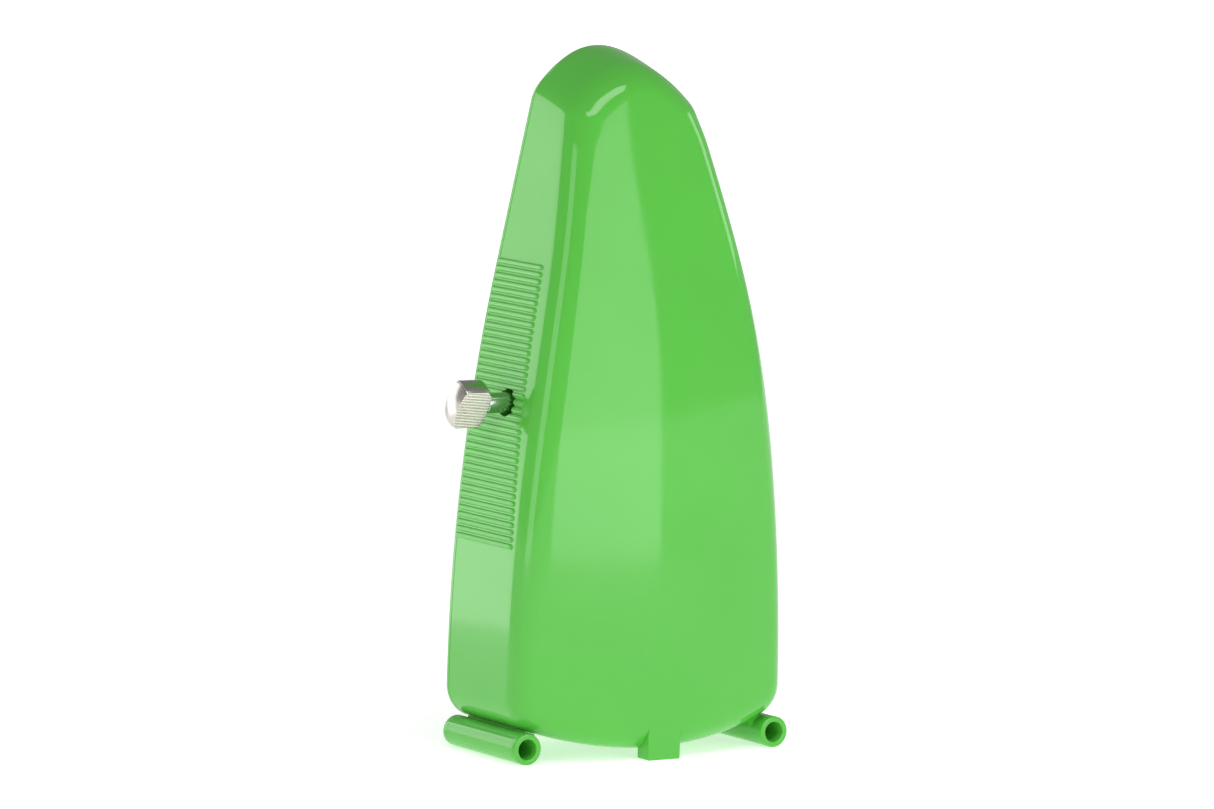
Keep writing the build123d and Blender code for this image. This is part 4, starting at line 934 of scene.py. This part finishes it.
class METRONOME_OT_grips(bpy.types.Operator):
    """Grows the half-round ribs on both sides of the case"""
    bl_idname = "metronome.grips"
    bl_label = "Ribbed grips"

    def execute(self, context):
        grips, case, green = settings("grips"), settings("case"), finishes()["green_case"]
        tree = rib_tree()
        lowest = grips.middle - grips.pitch * (grips.count - 1) / 2
        centre_z = case.sole + case.sole_radius
        corner_z = centre_z - math.sqrt((case.sole_radius - case.corner) ** 2
                                        - (case.half_width - case.corner) ** 2)
        for name, side in (("grip_left", -1.0), ("grip_right", 1.0)):
            values = {
                "Count": grips.count, "Pitch": grips.pitch, "Lowest": lowest, "Radius": grips.radius,
                "Proud": grips.proud, "Front": RIM_Y + FIT_GAP, "Rear Low": grips.rear_low,
                "Rear High": grips.rear_high, "Side": side, "Half Width": case.half_width,
                "Side Radius": case_stretches()[4][0], "Corner Height": corner_z, "Hole Radius": case.hole,
                "Hole Y": KEY_Y, "Hole Z": KEY_Z, "Material": green,
            }
            settle(grown(blank(name), tree, values, 50), "case", green)
        return {"FINISHED"}


class METRONOME_OT_feet(bpy.types.Operator):
    """Turns the two foot tubes with their saddles"""
    bl_idname = "metronome.feet"
    bl_label = "Foot tubes"

    def execute(self, context):
        feet = settings("feet")
        front, rear = TUBE_LOW[1], TUBE_HIGH[1]
        lip, ring = 0.18 * MM, 0.06 * MM
        collar = front + feet.collar
        profile = [(front, 0.0), (front, feet.radius - feet.nose)]
        profile += rounded((front, feet.radius - feet.nose), (front + feet.nose, feet.radius), True, 8)[1:]
        profile += [(collar - ring, feet.radius), (collar, feet.radius - ring), (collar + ring, feet.radius)]
        profile += [(y, feet.radius) for y in np.linspace(collar + 4 * MM, rear - 2 * MM, 5)]
        profile += [(rear - lip, feet.radius), (rear - 0.3 * lip, feet.radius - 0.3 * lip),
                    (rear, feet.radius - lip),
                    (rear, feet.bore + lip), (rear - 0.3 * lip, feet.bore + 0.3 * lip),
                    (rear - lip, feet.bore),
                    (rear - feet.bore_length, feet.bore), (rear - feet.bore_length, 0.0)]
        for name, side in (("foot_tube_left", -1), ("foot_tube_right", 1)):
            x = side * (TUBE_HIGH[0] - feet.radius)
            tube = lathe(name + "_moulding", profile, "Y", (x, 0, feet.radius), 72)
            tube = joined([tube, self.saddle(side)] + self.pegs(side))
            settle(tube, "case", finishes()["green_case"], [name])
        return {"FINISHED"}

    def pegs(self, side):
        """Two pegs that locate the tube on the case."""
        section = [(SADDLE_Z, 0), (SADDLE_Z, PEG_RADIUS), (PEG_TOP - 0.3 * MM, PEG_RADIUS),
                   (PEG_TOP, PEG_RADIUS - 0.3 * MM), (PEG_TOP, 0)]
        return [lathe("peg", section, "Z", (side * PEG_X, y, 0), 24) for y in PEG_Y]

    def saddle(self, side):
        """The web between tube and case, its top following the case's curved corner."""
        points, outward = case_outline()
        seam = FIT_GAP
        drawn = points + seam * outward
        inner, outer = SADDLE_X
        keep = [p for p in drawn[:len(drawn) // 2 + 1] if inner <= p[0] <= outer and p[1] < 12 * MM]
        section = [(p[0], p[1]) for p in keep] + [(inner, SADDLE_Z), (outer, SADDLE_Z)]
        section = np.array(section) * (side, 1)
        ends = (TUBE_LOW[1] + 3 * MM, TUBE_HIGH[1] - 4 * MM)
        rows = [loop(section[:, 0], y, section[:, 1]) for y in ends]
        count = len(section)
        faces = grid_faces(2, count) + [tuple(range(count)), tuple(range(count, 2 * count))]
        return new_piece("saddle", np.vstack(rows), faces)


class METRONOME_OT_front(bpy.types.Operator):
    """Makes the rounded frame round the dial and the cover over the lower bob"""
    bl_idname = "metronome.front"
    bl_label = "Frame and lower cover"

    def execute(self, context):
        green = finishes()["green_case"]
        settle(self.frame(), "case", green, ["front_frame"])
        settle(self.cover(), "case", green, ["front_apron"])
        return {"FINISHED"}

    def frame(self):
        """A ring round the case outline: rounded outer edge, soft inner edge, spigot inside the rim."""
        front, wall = settings("front"), settings("case").wall
        face, back, spigot = FRAME_LOW[1], RIM_Y - FIT_GAP, FRAME_HIGH[1]
        soft, recess = 0.4 * MM, front.dial_inset - FIT_GAP
        fit = wall + FIT_GAP
        section = [(fit, back), (0.12 * MM, back), (0.0, back - 0.12 * MM)]
        section += rounded((0.0, face + front.bevel), (front.bevel, face), True, 9)
        section += rounded((front.band - soft, face), (front.band, face + soft), False, 5)
        section += [(front.band, DIAL_LOW[1] - 0.02 * MM), (recess, DIAL_LOW[1] - 0.02 * MM),
                    (recess, spigot),
                    (fit, spigot)]
        return swept("dial_frame", outline_ring(section), wrap_rows=True)

    def cover(self):
        """A shell open at the back, with a flat top that the rod stands through."""
        front = settings("front")
        face, back = APRON_LOW[1], APRON_HIGH[1]
        top = APRON_HIGH[2]
        depth = back - face
        outer = self.plate("lower_cover", front.apron_inset, face, back)
        trim = soft_box("trim", (-0.05, face - 0.01, top), (0.05, back + 0.01, 0.2), 0.1 * MM)
        hollow = self.plate("hollow", front.apron_inset + front.apron_wall, face + front.apron_wall,
                            back + MM)
        hollow_trim = soft_box("hollow_trim", (-0.05, face - 0.01, top - front.apron_wall),
                               (0.05, back + 0.01, 0.2),
                               0.1 * MM)
        slot = soft_box("slot", (-ROD_SLOT, face + front.apron_wall, top - 3 * front.apron_wall),
                        (ROD_SLOT, back + depth, top + MM), 0.3 * MM)
        cut(outer, [trim])
        cut(hollow, [hollow_trim])
        self.round_front(outer, front.apron_bevel, face)
        cut(outer, [hollow, slot])
        posts = []
        for index, (x, z) in enumerate(COVER_SCREWS):
            section = [(back, 0.6 * MM), (back, 1.6 * MM), (face + front.apron_wall * 0.6, 1.6 * MM),
                       (face + front.apron_wall * 0.6, 0), (back - 4 * MM, 0), (back - 4 * MM, 0.6 * MM),
                       (back, 0.6 * MM)]
            posts.append(lathe(f"post_{index}", section, "Y", (x, 0, z), 32))
        return joined([outer] + posts)

    def plate(self, name, inset, face, back):
        """A solid plate of the case outline drawn in by inset."""
        rows = capped(outline_ring([(inset, face), (inset, back)]))
        return swept(name, rows)

    def round_front(self, piece, radius, face):
        """Rounds the edges of a piece's front face."""
        work = bmesh.new()
        work.from_mesh(piece.data)
        edges = [e for e in work.edges if all(abs(v.co.y - face) < 0.01 * MM for v in e.verts)
                 and e.calc_face_angle(0) > 0.5]
        bmesh.ops.bevel(work, geom=edges, offset=radius, segments=6, profile=0.5, affect="EDGES",
                        clamp_overlap=True)
        work.to_mesh(piece.data)
        work.free()
        tidy_mesh(piece)


class METRONOME_OT_dial(bpy.types.Operator):
    """Makes the dial plate and prints its tempo scale"""
    bl_idname = "metronome.dial"
    bl_label = "Dial and scale"

    def execute(self, context):
        front = settings("front")
        face, back, soft = DIAL_LOW[1], DIAL_HIGH[1], 0.15 * MM
        section = [(front.dial_inset + soft, face), (front.dial_inset, face + soft), (front.dial_inset, back)]
        plate = swept("dial_face", capped(outline_ring(section)))
        drills = [lathe("drill", [(face - MM, 0), (face - MM, r), (back + MM, r), (back + MM, 0)], "Y",
                        (x, 0, z), 32)
                  for x, z, r in [(0, PIVOT_Z, 2.4 * MM), (0, (CLIP_LOW[2] + CLIP_HIGH[2]) / 2, 0.6 * MM)]]
        cut(plate, drills)
        settle(plate, "case", finishes()["dial"], ["dial_plate"])
        settle(self.scale(face), "case", finishes()["ink"])
        return {"FINISHED"}

    def scale(self, face):
        """A column of marks on each side of the rod, with the numbers taking turns from side to side."""
        dial = settings("dial")
        heights = tempo_heights()
        line, mark, gap = 5.4 * MM, 1.4 * MM, 0.5 * MM
        marks = []
        for index, (tempo, height) in enumerate(heights.items()):
            side = 1 if index % 2 else -1
            marks.append(self.print_box((side * line, side * (line + mark)),
                                        (height - STROKE / 2, height + STROKE / 2)))
            marks.append(self.numeral(str(tempo), side, line + mark + gap, face, height))
        ends = min(heights.values()) - 1.5 * MM, max(heights.values()) + 0.8 * MM
        for side in (-1, 1):
            marks.append(self.print_box((side * line, side * (line - 0.2 * MM)), ends))
        marks[0].name = "tempo_scale"
        return joined(marks)

    def print_box(self, x_range, z_range):
        """A printed bar on the dial."""
        face, ink = DIAL_LOW[1], settings("dial").ink
        return soft_box("print", (min(x_range), face - ink, min(z_range)),
                        (max(x_range), face + ink, max(z_range)),
                        ink * 0.4, 1)

    def numeral(self, text, side, reach, face, height):
        """A printed number read from the front, its near edge at reach from the rod."""
        dial = settings("dial")
        letters = bpy.data.curves.new("numeral", "FONT")
        letters.body = text
        letters.size = dial.numeral * NUMERAL_SCALE
        letters.extrude = dial.ink
        letters.align_x = "LEFT" if side > 0 else "RIGHT"
        letters.align_y = "CENTER"
        holder = linked("numeral", letters)
        bpy.context.view_layer.update()
        mesh = bpy.data.meshes.new_from_object(holder.evaluated_get(bpy.context.evaluated_depsgraph_get()))
        bpy.data.objects.remove(holder)
        mesh.transform(Matrix.Translation((side * reach, face, height)) @ Matrix.Rotation(math.pi / 2, 4,
                                                                                          "X"))
        number = blank("numeral")
        number.data = mesh
        tidy_mesh(number)
        return number


def tempo_heights():
    """Height on the dial for each tempo, read at the weight's upper edge and evenly spaced."""
    travel = next(joint["range_m"] for joint in frame["joints"] if joint["name"] == "weight_slide")
    fast, slow = (WEIGHT_HIGH[2] + shift for shift in travel)
    return dict(zip(TEMPI, np.linspace(slow, fast, len(TEMPI))))


class METRONOME_OT_fittings(bpy.types.Operator):
    """Sets the pendulum clip and the slotted screws on the dial"""
    bl_idname = "metronome.fittings"
    bl_label = "Clip and dial screws"

    def execute(self, context):
        tree = screw_tree()
        settle(self.clip(), "case", finishes()["clip_plastic"], ["pendulum_clip"])
        face = DIAL_LOW[1]
        clip_place = [(0.0, CLIP_FACE, (CLIP_LOW[2] + CLIP_HIGH[2]) / 2)]
        pins = [(x, face, z) for x, z in PIN_PLACES]
        for name, places, radius, height, node in (
            ("dial_screws", pins, 1.2 * MM, 0.6 * MM, "dial_pins"),
            ("clip_fixing", clip_place, 1.4 * MM, 0.8 * MM, "clip_screw"),
        ):
            slot = "steel" if node == "dial_pins" else "screw_steel"
            spots = blank(name)
            spots.data.from_pydata(places, [], [])
            values = {"Radius": radius, "Height": height, "Slot": radius * 0.28, "Facing": -1.0,
                      "Length": 2.4 * MM,
                      "Material": finishes()[slot]}
            settle(grown(spots, tree, values, 50), "case", finishes()[slot], [node])
        return {"FINISHED"}

    def clip(self):
        """A base with two upright ears that the rod rests between."""
        low, high = CLIP_LOW, CLIP_HIGH
        middle = (low[2] + high[2]) / 2
        base = soft_box("rod_clip", (low[0], CLIP_FACE, low[2]), high, 0.35 * MM)
        ears = [soft_box("ear", (min(side * 2.0 * MM, side * 3.2 * MM), low[1], middle - 2 * MM),
                         (max(side * 2.0 * MM, side * 3.2 * MM), CLIP_FACE + 0.5 * MM, middle + 2 * MM),
                         0.3 * MM)
                for side in (-1, 1)]
        return cut(base, ears, "UNION")


class METRONOME_OT_key(bpy.types.Operator):
    """Turns the winding key's head and stem"""
    bl_idname = "metronome.key"
    bl_label = "Winding key"

    def execute(self, context):
        key, shine = settings("key"), finishes()["nickel"]
        start, end = HEAD_LOW[0], HEAD_HIGH[0]
        ball = (key.radius**2 + key.dome**2) / (2 * key.dome)
        shoulder, soft = end - key.dome, 0.25 * MM
        profile = [(start, 0.0)] + [(start, r) for r in np.linspace(key.radius * 0.45,
                                                                    key.radius - key.chamfer, 3)]
        profile += [(start + key.chamfer, key.radius), (shoulder - soft, key.radius)]
        profile += rounded((shoulder - soft, key.radius), (shoulder, key.radius - soft), False, 5)[1:]
        for share in np.linspace(0.93, 0.0, 14):
            radius = share * key.radius
            profile.append((end - ball + math.sqrt(ball**2 - radius**2), radius))
        head = lathe("key_head_turned", profile, "X", (0, KEY_Y, KEY_Z), 144)
        values = {
            "Count": key.grooves, "Pitch": key.groove_pitch, "Depth": key.groove_depth,
            "Half Thickness": key.flat, "Reach": 4 * key.radius, "Lean": -key.lean,
            "Axis X": (start + end) / 2, "Axis Y": KEY_Y, "Axis Z": KEY_Z, "Material": shine,
        }
        settle(grown(head, groove_tree(), values, 28), "key", shine, ["key_head"])
        settle(self.stem(), "key", finishes()["steel"], ["key_stem"])
        return {"FINISHED"}

    def stem(self):
        """A plain polished stem with a fine turned ring where it leaves the head."""
        radius, low, high = (STEM_HIGH[1] - STEM_LOW[1]) / 2, STEM_LOW[0], STEM_HIGH[0]
        ring = HEAD_LOW[0] - 0.5 * MM
        soft = 0.2 * MM
        profile = [(low, 0), (low, radius - soft), (low + soft, radius), (ring - 0.12 * MM, radius),
                   (ring, radius - 0.12 * MM), (ring + 0.12 * MM, radius), (high - soft, radius),
                   (high, radius - soft), (high, 0)]
        return lathe("key_stem_turned", profile, "X", (0, KEY_Y, KEY_Z), 72)


class METRONOME_OT_pendulum(bpy.types.Operator):
    """Makes the pendulum's rod, hub and sliding weight"""
    bl_idname = "metronome.pendulum"
    bl_label = "Pendulum"

    def execute(self, context):
        shades = finishes()
        settle(self.rod(), "pendulum", shades["steel"], ["pendulum_rod"])
        settle(self.hub(), "pendulum", shades["wheel_brass"], ["pendulum_hub"])
        settle(self.weight(), "weight", shades["weight_metal"], ["sliding_weight"])
        return {"FINISHED"}

    def rod(self):
        """A round rod with domed ends and a shallow notch for each tempo."""
        radius, low, high = (ROD_HIGH[0] - ROD_LOW[0]) / 2, ROD_LOW[2], ROD_HIGH[2]
        lift = (WEIGHT_HIGH[2] - WEIGHT_LOW[2]) / 2
        nick = 0.07 * MM
        profile = rounded((low, 0.0), (low + radius, radius), True, 6)
        for height in sorted(tempo_heights().values()):
            spot = height - lift
            profile += [(spot - nick, radius), (spot, radius - nick), (spot + nick, radius)]
        profile += rounded((high - radius, radius), (high, 0.0), False, 6)
        return lathe("pendulum_rod_turned", profile, "Z", (0, ROD_Y, 0), 24)

    def hub(self):
        """The boss on the verge's end, with turned steps."""
        radius, low, high = (HUB_HIGH[0] - HUB_LOW[0]) / 2, HUB_LOW[1], HUB_HIGH[1]
        soft, step = 0.3 * MM, 0.5 * MM
        profile = [(low, 0.0), (low, radius * 0.35), (low + 0.15 * MM, radius * 0.42),
                   (low + 0.15 * MM, radius * 0.7),
                   (low, radius * 0.76), (low, radius - soft)]
        profile += rounded((low, radius - soft), (low + soft, radius), True, 5)[1:]
        middle = (low + high) / 2
        profile += [(middle - step, radius), (middle - step * 0.6, radius - 0.2 * MM),
                    (middle + step * 0.6, radius - 0.2 * MM), (middle + step, radius), (high - soft, radius)]
        profile += rounded((high - soft, radius), (high, radius - soft), False, 5)[1:]
        profile.append((high, 0.0))
        return lathe("pendulum_hub_turned", profile, "Y", (0, 0, PIVOT_Z), 64)

    def weight(self):
        """A tapered block with rounded edges, a bore for the rod and a pocket for its friction spring."""
        low, high = WEIGHT_LOW, WEIGHT_HIGH
        top, bottom = high[0], high[0] * WEIGHT_TAPER
        corners = [(-bottom, low[2]), (bottom, low[2]), (top, high[2]), (-top, high[2])]
        points = [(x, y, z) for y in (low[1], high[1]) for x, z in corners]
        faces = grid_faces(2, 4) + [(0, 1, 2, 3), (4, 5, 6, 7)]
        block = new_piece("sliding_weight_cast", points, faces)
        work = bmesh.new()
        work.from_mesh(block.data)
        bmesh.ops.bevel(work, geom=work.edges[:], offset=0.5 * MM, segments=4, profile=0.5, affect="EDGES")
        work.to_mesh(block.data)
        work.free()
        bore = lathe("bore", [(low[2] - MM, 0), (low[2] - MM, 0.85 * MM), (high[2] + MM, 0.85 * MM),
                              (high[2] + MM, 0)], "Z", (0, ROD_Y, 0), 32)
        room = 0.1 * MM
        pocket = soft_box("pocket", SPRING_LOW - room, (SPRING_HIGH[0] + room, high[1] + MM,
                                                        SPRING_HIGH[2] + room),
                          0.05 * MM, 1)
        line = soft_box("line", (-top, low[1] - MM, high[2] - 1.3 * MM),
                        (top, low[1] + 0.12 * MM, high[2] - 1.1 * MM),
                        0.02 * MM, 1)
        return cut(block, [bore, pocket, line])


class METRONOME_OT_movement(bpy.types.Operator):
    """Gives every part of the movement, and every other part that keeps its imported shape, its finish"""
    bl_idname = "metronome.movement"
    bl_label = "Movement finishes"

    def execute(self, context):
        for entry in frame["record"]["subparts"]:
            node = frame["nodes"][entry["node"]]
            finish = finishes()[entry["material_slot"]]
            if not node.material_slots:
                node.data.materials.append(finish)
            for holder in node.material_slots:
                holder.material = finish
        return {"FINISHED"}


class METRONOME_OT_stage(bpy.types.Operator):
    """Lays the floor, hangs the soft lights and sets up the camera"""
    bl_idname = "metronome.stage"
    bl_label = "Stage"

    def execute(self, context):
        stage = settings("stage")
        self.floor(stage)
        self.world()
        for lamp in SOFTBOXES:
            self.softbox(*lamp)
        self.camera(stage)
        context.scene.view_settings.view_transform = "Standard"
        return {"FINISHED"}

    def floor(self, stage):
        line = np.linspace(-SWEEP_REACH, SWEEP_REACH, SWEEP_STEPS)
        points = [(x, y, 0) for y in line for x in line]
        floor = new_piece("floor", points, grid_faces(SWEEP_STEPS, SWEEP_STEPS, wrap_columns=False))
        material, shader = new_material("PaleFloor")
        mottle = shader.noise(object_place(shader), 3.0, 2.0)
        tone = shader.mixed(mottle, tinted(stage.floor), tinted(stage.floor, 0.985))
        # Painted light: the floor glows by its own emission, weaker near the object and stronger away from it, so
        # that the far floor renders white.
        away = shader.node("ShaderNodeVectorMath", {0: object_place(shader)},
                           operation="LENGTH").outputs["Value"]
        glow = shader.ranged(away, SWEEP_NEAR, SWEEP_FAR, stage.glow, SWEEP_WHITE)
        surface = shader.node("ShaderNodeBsdfPrincipled", {
            "Base Color": tone, "Roughness": 0.85, "Emission Color": (1, 1, 1, 1), "Emission Strength": glow})
        end = shader.node("ShaderNodeOutputMaterial")
        shader.tree.links.new(surface.outputs[0], end.inputs[0])
        floor.data.materials.append(material)

    def world(self):
        world = bpy.data.worlds.new("studio")
        world.use_nodes = True
        backdrop = world.node_tree.nodes["Background"]
        backdrop.inputs["Color"].default_value = (1, 1, 1, 1)
        shader = Shader(world.node_tree)
        height = shader.node("ShaderNodeSeparateXYZ",
                             {0: shader.node("ShaderNodeTexCoord").outputs["Generated"]})
        stage = settings("stage")
        strength = shader.ranged(height.outputs["Z"], 0.0, 0.6, stage.ambient, stage.zenith)
        world.node_tree.links.new(strength, backdrop.inputs["Strength"])
        bpy.context.scene.world = world

    def softbox(self, name, place, aim, width, height, radiance):
        """An evenly bright rectangle at place, facing aim."""
        light = bpy.data.lights.new(name, "AREA")
        light.shape = "RECTANGLE"
        light.size, light.size_y = width, height
        light.energy = radiance * math.pi * width * height
        lamp = linked(name, light)
        lamp.matrix_world = Matrix.Translation(place) @ (Vector(aim) - Vector(place)).to_track_quat(
            "-Z", "Y").to_matrix().to_4x4()
        lamp.visible_camera = False

    def camera(self, stage):
        turn = stage.azimuth
        level = math.cos(stage.elevation)
        back = Vector((math.sin(turn) * level, -math.cos(turn) * level, math.sin(stage.elevation)))
        right = Vector((math.cos(turn), math.sin(turn), 0.0))
        up = back.cross(right)
        rolled = right * math.cos(stage.roll) + up * math.sin(stage.roll)
        upright = back.cross(rolled)
        lens = bpy.data.cameras.new("camera")
        lens.lens = stage.lens
        lens.sensor_width = 36.0
        lens.clip_end = 50.0
        camera = linked("camera", lens)
        place = Vector(stage.target) + back * stage.distance
        camera.matrix_world = Matrix.Translation(place) @ Matrix((rolled, upright,
                                                                  back)).transposed().to_4x4()
        bpy.context.scene.camera = camera


# name, place, aim, width, height, radiance
SOFTBOXES = [
    ("side_light", (0.188, -0.259, 0.13), (0.036, -0.015, 0.13), 0.16, 0.26, 1.75),
    ("back_light", (-0.115, 0.493, 0.2), (0.08, 0.033, 0.2), 0.293, 0.4, 2.0),
    ("edge_light", (1.89, 0.65, 0.75), (0.0, 0.0, 0.75), 0.78, 1.5, 1.9),
    ("rim_light", (-1.48, 0.26, 0.65), (0.0, 0.0, 0.65), 0.5, 0.55, 2.5),
    ("top_light", (0.1, 1.1, 2.0), (0.0, 0.0, 0.1), 1.6, 0.55, 4.4),
    ("front_light", (0.2, -2.2, 0.7), (0.0, 0.0, 0.3), 1.4, 0.8, 0.8),
]


class METRONOME_PT_panel(bpy.types.Panel):
    """Lists every step of the model"""
    bl_idname = "METRONOME_PT_panel"
    bl_label = "Metronome"
    bl_space_type = "VIEW_3D"
    bl_region_type = "UI"
    bl_category = "Metronome"

    def draw(self, context):
        for step in STEPS:
            self.layout.operator(step.bl_idname)
        for name in SETTINGS:
            holder = getattr(context.scene, name)
            box = self.layout.box()
            box.label(text=name.replace("metronome_", "").capitalize())
            for field in holder.bl_rna.properties:
                if not field.is_readonly and field.identifier != "name":
                    box.prop(holder, field.identifier)


STEPS = [
    METRONOME_OT_case, METRONOME_OT_grips, METRONOME_OT_feet, METRONOME_OT_front, METRONOME_OT_dial,
    METRONOME_OT_fittings, METRONOME_OT_key, METRONOME_OT_pendulum, METRONOME_OT_movement, METRONOME_OT_stage,
]


def register():
    for kind in [*SETTINGS.values(), *STEPS, METRONOME_PT_panel]:
        bpy.utils.register_class(kind)
    for name, kind in SETTINGS.items():
        setattr(bpy.types.Scene, name, PointerProperty(type=kind))


def unregister():
    for name in SETTINGS:
        delattr(bpy.types.Scene, name)
    for kind in [METRONOME_PT_panel, *reversed(STEPS), *reversed(SETTINGS.values())]:
        bpy.utils.unregister_class(kind)


def main():
    register()
    for step in STEPS:
        family, action = step.bl_idname.split(".")
        getattr(getattr(bpy.ops, family), action)()
    bpy.context.view_layer.update()


if __name__ == "__main__":
    main()
